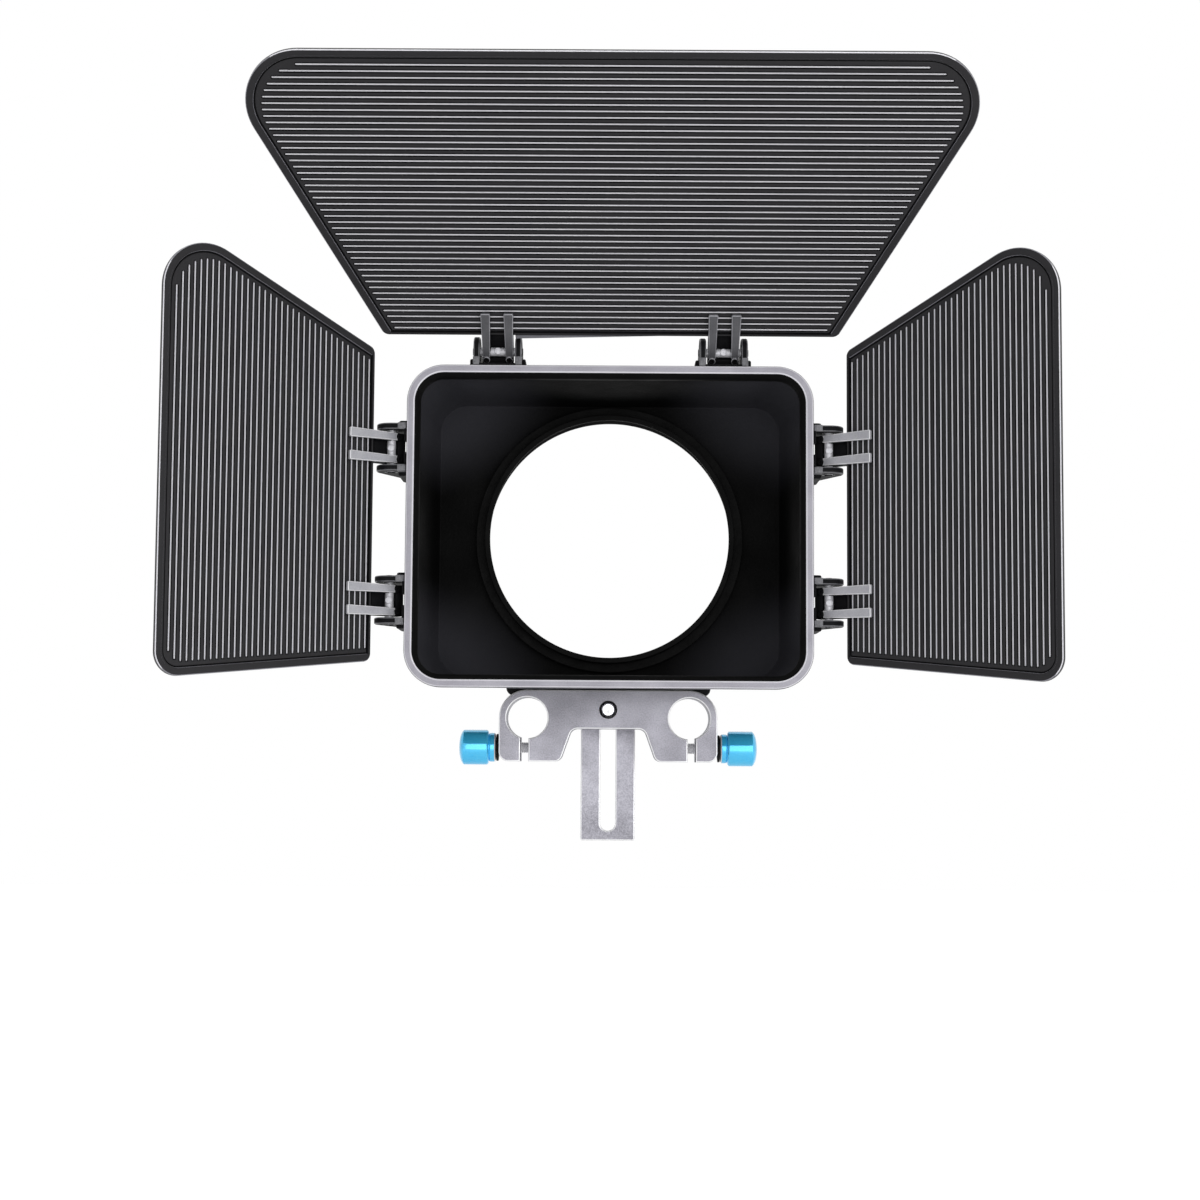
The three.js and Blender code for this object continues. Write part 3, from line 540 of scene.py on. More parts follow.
def add_painted_corner_sheen(material, centre):
    """Paints a sheen into the colour: paler where both X and Z are far from the hood's centre line."""
    tree = material.node_tree
    where = tree.nodes["Texture Coordinate"].outputs["Object"]
    shares = [1 / (half * MM) for half in CORNER_HALVES]
    offset = add_node(tree, "VectorMath", {0: where, 1: centre}, operation="SUBTRACT").outputs[0]
    reach = add_node(tree, "VectorMath", {0: offset, 1: shares}, operation="MULTIPLY").outputs[0]
    axes = add_node(tree, "SeparateXYZ", {"Vector": reach}).outputs
    both = add_node(tree, "Math", {0: axes["X"], 1: axes["Z"]}, operation="MULTIPLY").outputs[0]
    far = add_node(tree, "Math", {0: both}, operation="ABSOLUTE").outputs[0]
    bounds = {"Value": far, "From Min": 0.3, "From Max": 0.9}
    share = add_node(tree, "MapRange", bounds, interpolation_type="SMOOTHSTEP").outputs["Result"]
    base = tree.nodes["Principled BSDF"].inputs["Base Color"]
    # The paler grey is the painted sheen.
    tints = {"Factor": share, "A": base.links[0].from_socket, "B": colour("#3a3a3f")}
    tree.links.new(add_node(tree, "Mix", tints, data_type="RGBA").outputs["Result"], base)


add_leather(hood_plastic)
add_leather(hood_inside)
add_painted_corner_sheen(hood_inside, (0, 0, middle("lens_ring").z * MM))
print(hood_plastic.name, "pebbles of", LEATHER_MM, "mm")

# %% The smoother black plastics
# This black also serves as the painted shade on the rim's rounded edges.
black_ring_and_rim_shade = surface(
    "black_ring_plastic", "#020202", "#060606", (0.6, 0.75),
    mottle_mm=9, grain_mm=0.5, relief_mm=0.004, **gloss(0.1),
)
hinge_plastic = surface(
    "black_hinge_plastic", "#121214", "#1c1c1e", (0.5, 0.6), mottle_mm=5, relief_mm=0.006, **gloss(0.04)
)
# This black also serves as the flags' painted shade: ribs' near sides, groove floors and the border's near
# edge.
black_washer_and_shade = surface(
    "black_washer_plastic", "#060607", "#0c0c0d", (0.5, 0.65),
    mottle_mm=3, grain_mm=0.3, relief_mm=0.004, **gloss(0.1),
)
# A painted highlight on the brackets' bevels.
hinge_edge_plastic = surface(
    "hinge_edge_painted_highlight", "#49494d", "#606064", (0.3, 0.45), mottle_mm=5, relief_mm=0.004
)
# The blocks' pale grey is painted light, for the flat front that faces the lamps.
hinge_block_plastic = surface(
    "hinge_block_painted_light", "#5d5d61", "#848488", (0.5, 0.65), mottle_mm=3, grain_mm=0.6, relief_mm=0.04
)
print(black_ring_and_rim_shade.name, hinge_plastic.name, black_washer_and_shade.name)

# %% [markdown]
# ## Greys of the rim, the clips and the flags
# The rim's face is given a light satin grey as a painted sheen, and a fine orange-peel texture keeps
# its reflections soft. The clips' grey is painted light on the side flags and painted shade, a darker
# grey, on the upper flag; glass fibre in their plastic shows as a finer, rougher grain. The flags are
# moulded in charcoal, and their ribs are painted brighter along the crests as a highlight.

# %% Rim paint and clip plastic
# The rim's grey is painted sheen: the light that its front face catches.
rim_sheen_grey = surface(
    "grey_rim_paint", "#97959e", "#a6a4ad", (0.4, 0.55), 0.2, mottle_mm=9, grain_mm=0.5, relief_mm=0.012
)
# A painted highlight along the first strip of the rim's rounded edges.
rim_edge_highlight = surface(
    "rim_edge_painted_highlight", "#d2d1d8", "#dedde3", (0.35, 0.45), 0.1, mottle_mm=9, grain_mm=0.5, relief_mm=0.004
)
# The side clips' grey is painted light, the upper clips' darker grey painted shade, and both edge colours
# painted highlights.
clip_plastic = surface("grey_clip_plastic", "#a8a8af", "#bababf", (0.4, 0.55), 0.2, relief_mm=0.02)
clip_edge_plastic = surface("clip_edge_painted_highlight", "#f0f0f3", "#f8f8fa", (0.35, 0.45), 0.1, relief_mm=0.004)
dark_clip_plastic = surface(
    "clip_grey_painted_shade", "#4a4a4e", "#5d5d61", (0.4, 0.55), 0.2, relief_mm=0.02
)
dark_clip_edge = surface("clip_edge_painted_dim_highlight", "#9a9aa0", "#b1b1b7", (0.3, 0.4), 0.2, relief_mm=0.004)
print(rim_sheen_grey.name, clip_plastic.name, dark_clip_plastic.name)

# %% The flags' plastic
flag_plastic = surface(
    "charcoal_flag_plastic", "#131215", "#1b1a1e", (0.38, 0.5), mottle_mm=16, grain_mm=0.5, relief_mm=0.006,
    **gloss(0.3),
)
# The crest and edge tints are painted highlights on the ribs' tops and the flags' bevels.
painted_highlight_tints = {"flag_crest_painted_highlight": ("#e4e3ea", "#f0eff4"), "flag_edge_painted_highlight": ("#7c7b83", "#95949c")}
crest_plastic, flag_edge_plastic = (
    surface(name, *tints, (0.3, 0.42), mottle_mm=12, grain_mm=0.5, relief_mm=0.003)
    for name, tints in painted_highlight_tints.items()
)
lip_plastic = surface(
    "grey_lip_plastic", "#6a6a70", "#7d7d84", (0.35, 0.5), mottle_mm=12, grain_mm=0.5, relief_mm=0.006
)
print(flag_plastic.name, crest_plastic.name, flag_edge_plastic.name)

# %% [markdown]
# ## The rod clamp
# The clamp is one block of plate. Two bores take the rods, and a saw cut under each bore lets a
# screw pull it closed. A curved arch between the feet leaves room below. It is drawn from the
# front as one outline: the cut walls run up into the bore, and the pen turns nearly a full round
# before it comes down the other wall.

# %% The clamp's block
ROD_X = 30.0  # of the rod axes, from the middle
ROD_BORE = 7.6
SLIT = 3.0  # width of a saw cut
SLIT_OUT = 0.9  # from a rod's axis out to the middle of its cut
CLAMP_FOOT_CORNER = 3.5
ARCH_FOOT_X = 17.7  # where the arch's wall meets the level of the feet
ARCH_TOP_X = 13.4  # and the level of its top
ARCH_TOP_DROP = 4.0
ARCH_EASE = 3.0  # radius at both ends of that wall
LOCK_HEIGHT = middle("height_lock_screw").z
LOCK_HOLE = 2.9
CLAMP_EDGE = 0.45

half_width, top, bottom = clamp_high.x, clamp_high.z, clamp_low.z


def bore_path(x):
    """Up one wall of a saw cut, round the bore and down the other wall."""
    cut = x + math.copysign(SLIT_OUT, x)
    angles = [math.asin((cut + side * SLIT / 2 - x) / ROD_BORE) for side in (-1, 1)]
    turn = 360 - math.degrees(angles[1] - angles[0])
    return [
        (cut - SLIT / 2, bottom),
        (cut - SLIT / 2, -ROD_BORE * math.cos(angles[0])),
        ("turn", x, 0, -turn),
        (cut + SLIT / 2, bottom),
    ]


clamp_path = [
    (-half_width, bottom, CLAMP_FOOT_CORNER),
    *bore_path(-ROD_X),
    (-ARCH_FOOT_X, bottom, ARCH_EASE),
    (-ARCH_TOP_X, -ARCH_TOP_DROP, ARCH_EASE),
    (ARCH_TOP_X, -ARCH_TOP_DROP, ARCH_EASE),
    (ARCH_FOOT_X, bottom, ARCH_EASE),
    *bore_path(ROD_X),
    (half_width, bottom, CLAMP_FOOT_CORNER),
    (half_width, top, top),
    (-half_width, top, top),
]
# Of these materials, the chamfers' one is a painted highlight and the black one is painted shade.
CHAMFER, SHADE_BLACK = 1, 2  # the materials of clamp and arm after their grey


def clamp_shade(face):
    """Keeps a face's material, but paints the chamfer of the lock screw's hole black as a painted shadow."""
    x, y, _ = face.calc_center_median()
    near_hole = math.hypot(x, y - LOCK_HEIGHT) < 2 * LOCK_HOLE
    return SHADE_BLACK if face.material_index == CHAMFER and near_hole else face.material_index


lock_hole = [(0, LOCK_HEIGHT, LOCK_HOLE)]
clamp = plate(clamp_path, -clamp_high.y, -clamp_low.y, CLAMP_EDGE, lock_hole, edge_index=CHAMFER)
paint(clamp.faces, clamp_shade)
aluminium = [blasted_aluminium, chamfer_highlight_aluminium, shade_black_aluminium]
finish(clamp, "rod_clamp_bracket", "rod_clamp", aluminium, UPRIGHT)

# %% [markdown]
# ## The height arm
# The arm has the form of a T. Its upright is grey and carries a long slot for the lock screw. Its
# head is painted black as the shade under the hood, and is screwed on the rear of the hood, with an
# arch that clears the lens ring. It could be cut from a box with Booleans. Drawn outlines with a
# drawn slot give cleaner edges for the bevel, and the seam between grey and painted black is a real one.

# %% The arm's plate
arm_low, arm_high = span("slotted_height_arm")
ARM_HALF = 10.2
ARM_HEAD_BOTTOM = 8.5
ARM_CORNER = 3.0
ARM_TIP_CORNER = 0.8
LENS_Z = middle("lens_ring").z
ARCH_RADIUS = 48.2
SLOT_HALF = 2.85
SLOT_TOP = 6.9
SLOT_BOTTOM = -41.9
ARM_EDGE = 0.5

arch_half = math.sqrt(ARCH_RADIUS**2 - (LENS_Z - arm_high.z) ** 2)
arch_turn = 2 * math.degrees(math.atan2(arch_half, LENS_Z - arm_high.z))
upright_path = [
    (-ARM_HALF, arm_low.z, ARM_TIP_CORNER),
    (ARM_HALF, arm_low.z, ARM_TIP_CORNER),
    (ARM_HALF, ARM_HEAD_BOTTOM),
    (-ARM_HALF, ARM_HEAD_BOTTOM),
]
head_path = [
    (-arm_high.x, ARM_HEAD_BOTTOM, ARM_CORNER),
    (arm_high.x, ARM_HEAD_BOTTOM, ARM_CORNER),
    (arm_high.x, arm_high.z, ARM_TIP_CORNER),
    (arch_half, arm_high.z),
    ("turn", 0, LENS_Z, -arch_turn),
    (-arch_half, arm_high.z),
    (-arm_high.x, arm_high.z, ARM_TIP_CORNER),
]
slot_path = rectangle(
    2 * SLOT_HALF, SLOT_TOP - SLOT_BOTTOM, SLOT_HALF * 0.999, (0, (SLOT_TOP + SLOT_BOTTOM) / 2)
)
upright = plate(upright_path, -arm_high.y, -arm_low.y, ARM_EDGE, cutouts=[slot_path], edge_index=CHAMFER)
head = plate(head_path, -arm_high.y, -arm_low.y, ARM_EDGE)
# The head is painted black as the shade under the hood.
paint(head.faces, SHADE_BLACK)
arm = gather(upright, head)
finish(arm, "slotted_height_arm", "hood", aluminium, UPRIGHT)

# %% [markdown]
# ## Knobs
# A knob is turned in one piece: a thin collar, a grip with chamfered ends and a slightly domed end. Its
# collar ends in a narrow face that is turned bare after anodising, which shows as a bright ring
# next to the black washer. The three knobs have one profile with sizes of their own.

# %% The knob's profile
BARE_EDGE = 0.45  # width of the bare face at the collar's end
GRIP_GROOVE = 0.25  # depth of the groove between collar and grip
KNOB_EDGE = 0.12


def knob_profile(collar, collar_radius, grip_end, radius, chamfer, dome):
    """Radius and height along a knob from its seat to its domed end."""
    return [
        (0, 0),
        (collar_radius - BARE_EDGE, 0),
        (collar_radius, BARE_EDGE),
        (collar_radius, collar - 2 * GRIP_GROOVE),
        (collar_radius - GRIP_GROOVE, collar - GRIP_GROOVE),
        (collar_radius - GRIP_GROOVE, collar),
        (radius - chamfer, collar),
        (radius, collar + chamfer),
        (radius, grip_end - chamfer),
        (radius - chamfer, grip_end),
        (radius * 0.72, grip_end + dome * 0.52),
        (radius * 0.4, grip_end + dome * 0.87),
        (0, grip_end + dome),
    ]


def make_knob(node, body, seat, direction, sizes):
    """A blue knob with its bare ring."""
    knob = turned(knob_profile(**sizes), KNOB_EDGE)
    paint(knob.faces, lambda face: face.calc_center_median().z < BARE_EDGE * 0.9)
    materials = [blue_aluminium, plated_steel]
    finish(knob, node, body, materials, facing(seat, direction))


# %% The three knobs
CLAMP_SCREW_Z = middle("left_clamp_screw").z
clamp_knob_sizes = dict(collar=2.5, collar_radius=5.4, grip_end=12.4, radius=6.5, chamfer=0.6, dome=1.2)
lock_knob_sizes = dict(collar=3.0, collar_radius=5.2, grip_end=14.0, radius=6.4, chamfer=0.8, dome=1.4)
outward = {"left_clamp": (-1, 0, 0), "right_clamp": (1, 0, 0), "height_lock": (0, 1, 0)}
screw_bodies = dict(left_clamp="left_clamp_knob", right_clamp="right_clamp_knob", height_lock="height_lock")
seats = {
    "left_clamp": (span("left_clamp_knob")[1].x, 0, CLAMP_SCREW_Z),
    "right_clamp": (span("right_clamp_knob")[0].x, 0, CLAMP_SCREW_Z),
    "height_lock": (0, span("height_lock_knob")[0].y, LOCK_HEIGHT),
}
for name, axis in outward.items():
    sizes = lock_knob_sizes if name == "height_lock" else clamp_knob_sizes
    make_knob(name + "_knob", screw_bodies[name], seats[name], axis, sizes)

# %% [markdown]
# ## Screws and washers
# The clamp screws show only where they cross the saw cuts, and the lock screw shows its tip in a hole
# between the bores. The tip has a chamfer and a shallow dish from the lathe. Four button-head screws
# hold the arm's head. Their hexagonal sockets are made by bridging a ring of the spun head to a
# six-sided loop that is then pushed in.

# %% Clamp screws, the lock screw and the washers
TIP_CHAMFER = 0.4
THREAD_PITCH = 0.7
THREAD_DEPTH = 0.18
TIP_DISH = 0.12
WASHER_EDGE = 0.15


def rod_profile(radius, length):
    """A screw's shank: a chamfered tip with a shallow dish, fine thread rings and a plain end."""
    points = [(0, TIP_DISH), (radius * 0.55, 0), (radius - TIP_CHAMFER, 0), (radius, TIP_CHAMFER)]
    height = TIP_CHAMFER + THREAD_PITCH
    while height < length - THREAD_PITCH:
        points += [(radius, height - THREAD_PITCH / 2), (radius - THREAD_DEPTH, height)]
        height += THREAD_PITCH
    return points + [(radius, length - TIP_CHAMFER), (radius - TIP_CHAMFER, length), (0, length)]


def make_screw(node, body, axis):
    """A screw along X or Y, with its tip at the end that the axis points away from."""
    low, high = span(node)
    length = abs((high - low).dot(Vector(axis)))
    across = (high.z - low.z) / 2
    tip = Vector([low[i] if axis[i] > 0 else high[i] if axis[i] < 0 else middle(node)[i] for i in range(3)])
    screw = turned(rod_profile(across, length))
    paint(screw.faces, lambda face: face.calc_center_median().z > 2 * TIP_CHAMFER)
    finish(screw, node, body, [bright_steel, plated_steel], facing(tip, axis))


def make_washer(node, bore, axis):
    """A flat washer with rounded rims."""
    low, high = span(node)
    thick = abs((high - low).dot(Vector(axis)))
    rim = (high.z - low.z) / 2
    seat = middle(node) - Vector(axis) * thick / 2
    washer = turned([(bore, 0), (rim, 0), (rim, thick), (bore, thick), (bore, 0)], WASHER_EDGE)
    finish(washer, node, "rod_clamp", [black_washer_and_shade], facing(seat, axis))


washer_bores = {"left_clamp": 2.3, "right_clamp": 2.3, "height_lock": 2.75}
for name, axis in outward.items():
    make_screw(name + "_screw", screw_bodies[name], axis)
for name, axis in outward.items():
    make_washer(name + "_washer", washer_bores[name], axis)

# %% The arm's button-head screws
SOCKET_RADIUS = 1.05
SOCKET_DEPTH = 1.0
HEAD_HEIGHT = 1.8
NECK_DEPTH = 0.6  # of the shank's piece under the head


def button_head(radius):
    """The profile of a domed head whose middle is open for the socket."""
    return [
        (0, -NECK_DEPTH),
        (radius * 0.5, -NECK_DEPTH),
        (radius * 0.5, 0),
        (radius, 0),
        (radius, HEAD_HEIGHT * 0.35),
        (radius * 0.86, HEAD_HEIGHT * 0.72),
        (radius * 0.66, HEAD_HEIGHT * 0.94),
        (SOCKET_RADIUS * 1.25, HEAD_HEIGHT),
    ]


def make_arm_screw(node):
    """A button-head screw with a hexagonal socket."""
    low, high = span(node)
    bm = turned(button_head((high.x - low.x) / 2), steps=SMALL_STEPS)
    rim = open_edges(bm)
    hexagon = circle(bm, SOCKET_RADIUS, Matrix.Translation((0, 0, HEAD_HEIGHT)), 6)
    bmesh.ops.bridge_loops(bm, edges=rim + hexagon)
    push(bm, hexagon, -SOCKET_DEPTH)
    bmesh.ops.holes_fill(bm, edges=bm.edges[:], sides=6)
    turn_out(bm)
    seat = Vector((middle(node).x, high.y - HEAD_HEIGHT, middle(node).z))
    finish(bm, node, "hood", [bright_steel], facing(seat, (0, 1, 0)))


for number in range(1, 5):
    make_arm_screw("arm_screw_" + str(number))

# %% [markdown]
# ## The hood's shell
# The shell is one moulding: a box with round corners that narrows a little to the rear, open in
# front, with a rear wall that has a round opening. Rounded outlines are drawn for its outside and
# its inside, in front and at the rear wall, and bridges between them make the walls. The rear wall's
# two faces are filled round the opening, and a bridge joins the opening's two circles.

# %% Rounded loops that change their size
rim_low, rim_high = span("front_rim")
shell_low, shell_high = span("hood_shell")
RIM_FRONT, SHELL_FRONT, SHELL_REAR = rim_low.y, shell_low.y, shell_high.y
HOOD_CORNER = 13.0
FLARE_SIDE, FLARE_TOP, FLARE_BOTTOM = 5.0, 2.5, 3.5  # how much the hood narrows to the rear


def hood_size(y, inset):
    """Width, height and middle height of the hood's outside at a depth, shrunk by an inset."""
    share = (y - RIM_FRONT) / (SHELL_REAR - RIM_FRONT)
    left = rim_low.x + FLARE_SIDE * share + inset
    low = rim_low.z + FLARE_BOTTOM * share + inset
    high = rim_high.z - FLARE_TOP * share - inset
    return -2 * left, high - low, (low + high) / 2


def hood_loop(bm, y, inset):
    """Draws the hood's rounded outline at a depth and returns its edges."""
    width, height, centre = hood_size(y, inset)
    before = set(bm.edges)
    draw(bm, rectangle(width, height, HOOD_CORNER - inset, (0, centre)))
    edges = [edge for edge in bm.edges if edge not in before]
    lift(bm, list({vert for edge in edges for vert in edge.verts}), -y)
    return edges


print("the hood narrows by", FLARE_SIDE, "mm on each side")

# %% The shell
SHELL_WALL = 2.2
REAR_WALL = 3.5
SHELL_INSET = 0.5
SHELL_EDGE = 0.5
LENS_HOLE = 47.9
INSIDE = 1  # the shell's material after its own


def make_shell():
    """The tapered shell with its rear wall and the opening for the lens ring."""
    bm = bmesh.new()
    wall_front = SHELL_REAR - REAR_WALL
    outer_front, outer_rear = (hood_loop(bm, y, SHELL_INSET) for y in (SHELL_FRONT, SHELL_REAR))
    inset = SHELL_INSET + SHELL_WALL
    inner_front, inner_rear = (hood_loop(bm, y, inset) for y in (SHELL_FRONT, wall_front))
    hole_front, hole_rear = (
        circle(bm, LENS_HOLE, Matrix.Translation((0, LENS_Z, -y)), 2 * HOLE_STEPS)
        for y in (wall_front, SHELL_REAR)
    )
    bmesh.ops.bridge_loops(bm, edges=outer_front + outer_rear)
    paint(bmesh.ops.bridge_loops(bm, edges=inner_front + inner_rear)["faces"], INSIDE)
    bmesh.ops.bridge_loops(bm, edges=outer_front + inner_front)
    bmesh.ops.bridge_loops(bm, edges=hole_front + hole_rear)
    paint(fill(bm, inner_rear + hole_front), INSIDE)
    fill(bm, outer_rear + hole_rear)
    turn_out(bm)
    bevel(bm, sharp_edges(bm, 60), SHELL_EDGE)
    shade(bm)
    return bm


finish(make_shell(), "hood_shell", "hood", [hood_plastic, hood_inside], UPRIGHT)

# %% [markdown]
# ## The front rim
# The rim is a frame round the hood's mouth, and its face is a grey that is painted sheen. Its flat
# face is only about 3 mm wide, and a black slanted strip leads from it into the hood. Insets of one
# rounded face make both strips, so their corners stay concentric. The two edges of the face are
# rounded; the first strip of each rounding is painted bright as a highlight, and the steeper strips
# are painted black as shade.

# %% The rim
RIM_FACE = 2.8
RIM_SLANT = 1.8
RIM_SLANT_DEPTH = 2.0
RIM_EDGE = 0.55
# The bright one is a painted highlight, and black on rounded edges is painted shade.
BLACK, BRIGHT = 1, 2  # the rim's materials after its paint


def rim_shade(face):
    """Painted highlight on the first strip of a rounded edge, painted shade in black on what slopes more,
    and else as it was.
    """
    if 0.9 < face.normal.z < 0.99:
        return BRIGHT
    return BLACK if 0.15 < face.normal.z <= 0.9 else face.material_index


def make_rim():
    """A frame with a flat face, a slanted inner strip and straight walls."""
    depth = rim_high.y - rim_low.y
    bm = bmesh.new()
    hood_loop(bm, rim_low.y, 0)
    face = fill_one(bm)
    settings = {"faces": [face], "use_even_offset": True, "use_boundary": True}
    bmesh.ops.inset_region(bm, thickness=RIM_FACE, **settings)
    strip = bmesh.ops.inset_region(bm, thickness=RIM_SLANT, depth=-RIM_SLANT_DEPTH, **settings)
    inner, outer = list(face.edges), open_edges(bm)
    bmesh.ops.delete(bm, geom=[face], context="FACES_ONLY")
    push(bm, outer, -depth)
    wall = push(bm, inner, RIM_SLANT_DEPTH - depth)
    rear = bmesh.ops.bridge_loops(bm, edges=open_edges(bm))
    paint(strip["faces"] + faces_of(wall) + rear["faces"], BLACK)
    turn_out(bm)
    bevel(bm, sharp_edges(bm, 40), RIM_EDGE)
    shade(bm)
    paint(bm.faces, rim_shade)
    return bm


rim_materials = [rim_sheen_grey, black_ring_and_rim_shade, rim_edge_highlight]
finish(make_rim(), "front_rim", "hood", rim_materials, UPRIGHT)

# %% [markdown]
# ## The lens ring
# The ring stands in the opening of the rear wall. A narrow edge faces the subject, a flange rests on
# the wall, and the neck behind it takes the lens. Its bore is cut with fine grooves, which keep stray
# light off the glass, and they are part of the profile that is spun.

# %% The ring's profile
ring_low, ring_high = span("lens_ring")
APERTURE = 44.6
RING_BORE = 46.0
RING_NECK = 47.6
RING_FLANGE = 50.0
LIP_WALL = 2.0
LIP_DEPTH = 3.7
FLANGE_THICK = 3.0
LIP_EDGE = 1.5
GROOVE_PITCH = 1.2
GROOVE_DEPTH = 0.35
RING_EDGE = 0.2


def ring_profile():
    """Radius and depth round the ring's section, from its front edge and back to it."""
    length = ring_high.y - ring_low.y
    points = [
        (APERTURE, 0),
        (APERTURE + LIP_WALL, 0),
        (APERTURE + LIP_WALL, LIP_DEPTH),
        (RING_FLANGE, LIP_DEPTH),
        (RING_FLANGE, LIP_DEPTH + FLANGE_THICK),
        (RING_NECK, LIP_DEPTH + FLANGE_THICK),
        (RING_NECK, length),
        (RING_BORE, length),
    ]
    depth = length - GROOVE_PITCH
    while depth > LIP_EDGE + GROOVE_PITCH:
        points += [(RING_BORE, depth), (RING_BORE + GROOVE_DEPTH, depth - GROOVE_PITCH / 2)]
        depth -= GROOVE_PITCH
    return points + [(RING_BORE, LIP_EDGE), (APERTURE, LIP_EDGE), (APERTURE, 0)]


ring = turned(ring_profile(), steps=2 * TURNED_STEPS)
bevel(ring, sharp_edges(ring, 80), RING_EDGE)
ring_place = facing((0, ring_low.y, LENS_Z), (0, 1, 0))
finish(ring, "lens_ring", "hood", [black_ring_and_rim_shade], ring_place)

# %% [markdown]
# ## Where the flags hang
# Each flag swings on a line outside the hood's edge. In the frame of one side, X runs along that
# line, Y to the rear and Z out of the hood. A leaf is the same frame leant forward: it carries the
# flag, its clips and its pins. Where a hinge stands on its line is read from the solid of its pin.

# %% The frames of the three sides
TOP_LEAN = 38.0  # degrees that the upper flag leans forward
SIDE_LEAN = 37.0
PIN_RADIUS = 1.55
HINGE_OUT = 5.9  # from the hood's edge out to a hinge's line
HINGE_BACK = 7.0  # and from the rim's face back to it
SIDEWAYS = Matrix(((0, 0, 1, 0), (1, 0, 0, 0), (0, 1, 0, 0), (0, 0, 0, 1)))  # draws in Y and Z

side_turns = {"top": 0.0, "left": -math.pi / 2, "right": math.pi / 2}
side_leans = {"top": TOP_LEAN, "left": SIDE_LEAN, "right": SIDE_LEAN}
side_hinges = {
    "top": ("top_left", "top_right"),
    "left": ("left_lower", "left_upper"),
    "right": ("right_upper", "right_lower"),
}
PIVOT_Y = RIM_FRONT + HINGE_BACK
pivots = {
    "top": Vector((0, PIVOT_Y, rim_high.z + HINGE_OUT)),
    "left": Vector((rim_low.x - HINGE_OUT, PIVOT_Y, LENS_Z)),
    "right": Vector((rim_high.x + HINGE_OUT, PIVOT_Y, LENS_Z)),
}


def side_place(side):
    """From the frame of one side of the hood to the object's frame."""
    return Matrix.Translation(pivots[side]) @ Matrix.Rotation(side_turns[side], 4, "Y")


def leaf_place(side):
    """From the frame of a leaf to the object's frame."""
    return side_place(side) @ Matrix.Rotation(math.radians(side_leans[side]), 4, "X")


def along(side, hinge):
    """How far along its line a hinge stands."""
    return (side_place(side).inverted() @ middle(hinge + "_hinge_pin")).x


def hinge_shift(side, hinge):
    """The shift along its line that takes a hinge to its place."""
    return Matrix.Translation((along(side, hinge), 0, 0))


for side, hinges in side_hinges.items():
    print(side, [round(along(side, hinge), 2) for hinge in hinges])

# %% [markdown]
# ## Hinge brackets
# A bracket is a black moulding of two ears on two feet, which are joined by a low strip. Each ear is
# an outline seen from its side, drawn in Y and Z: it stands on the rim and the shell, whose wall falls
# away a little to the rear, and its round end is turned about the hinge's line. Its bevels carry a
# painted highlight, and the block in front of each ear a paler grey as painted light.

# %% Ears and feet
EAR_GAP = 6.2  # from the hinge's middle to an ear
EAR_THICK = 2.3
EAR_RADIUS = 5.2
FOOT_LEAD = 1.2
FOOT_END = 16.8
FOOT_TOP = -2.6
FOOT_CORNER = 1.2
FOOT_OVERHANG = 1.38  # how far a foot stands out beside its ear
DEEPEST = 2.0  # no foot goes further below the hood's edge
RIM_SEAT = -5.6  # where the ear's front stands on the rim
SHELL_SEAT = -6.1  # and its rear on the shell, at the rim's face
RIM_BACK = -1.7
PIN_HOLE = 1.85
side_flares = {"top": FLARE_TOP, "left": FLARE_SIDE, "right": FLARE_SIDE}


def shell_at(side, y):
    """Height of the shell's wall under a bracket, at a place along Y from the hinge's line."""
    fall = side_flares[side] * (y + PIVOT_Y - RIM_FRONT) / (SHELL_REAR - RIM_FRONT)
    return max(SHELL_SEAT - fall, -HINGE_OUT - DEEPEST)


def ear_path(side):
    """An ear's outline: up its front, round its end and down its sloping rear."""
    slope = math.atan2(FOOT_TOP, FOOT_END)
    reach = math.acos(EAR_RADIUS / math.hypot(FOOT_END, FOOT_TOP))
    return [
        (-EAR_RADIUS, RIM_SEAT),
        (RIM_BACK, RIM_SEAT),
        (RIM_BACK, shell_at(side, RIM_BACK)),
        (FOOT_END, shell_at(side, FOOT_END)),
        (FOOT_END, FOOT_TOP),
        (EAR_RADIUS * math.cos(slope + reach), EAR_RADIUS * math.sin(slope + reach)),
        ("turn", 0, 0, 180 - math.degrees(slope + reach)),
    ]


def foot_path(side):
    """A foot's outline, with round upper corners."""
    return [
        (-FOOT_LEAD, shell_at(side, 0)),
        (FOOT_END, shell_at(side, FOOT_END)),
        (FOOT_END, FOOT_TOP, FOOT_CORNER),
        (-FOOT_LEAD, FOOT_TOP, FOOT_CORNER),
    ]


print("an ear leans back over", FOOT_END, "mm")

# %% A bracket
BRACKET_EDGE = 0.45
BLOCK_LEAD = 5.45  # the ear's foot block stands a little in front of the ear
FILL_END = 1.9  # the low fill beside an ear ends here, and leaves a gap in the middle
FILL_TOP = -4.95
FILL_REAR = 2.6
STRIP_TOP = -5.1
STRIP_LENGTH = 6.0
SINK = 0.3  # how far a low part goes into the ear beside it
FOOT_STEP, BLOCK_STEP = 0.02, 0.05  # from an ear's inner face to its foot's and its block's
BLOCK_OVERHANG = 0.1
FOOT_EDGE, BLOCK_EDGE, FILL_EDGE = 0.5, 0.25, 0.1
# Both of these materials are painted light: a highlight on the bevels and the lit grey of the blocks.
EDGE, BLOCK = 1, 2  # the bracket's materials after its black


def beside(sign, near, far):
    """Two distances from the hinge's middle as places to its left or right, the lower one first."""
    return sorted((sign * near, sign * far))


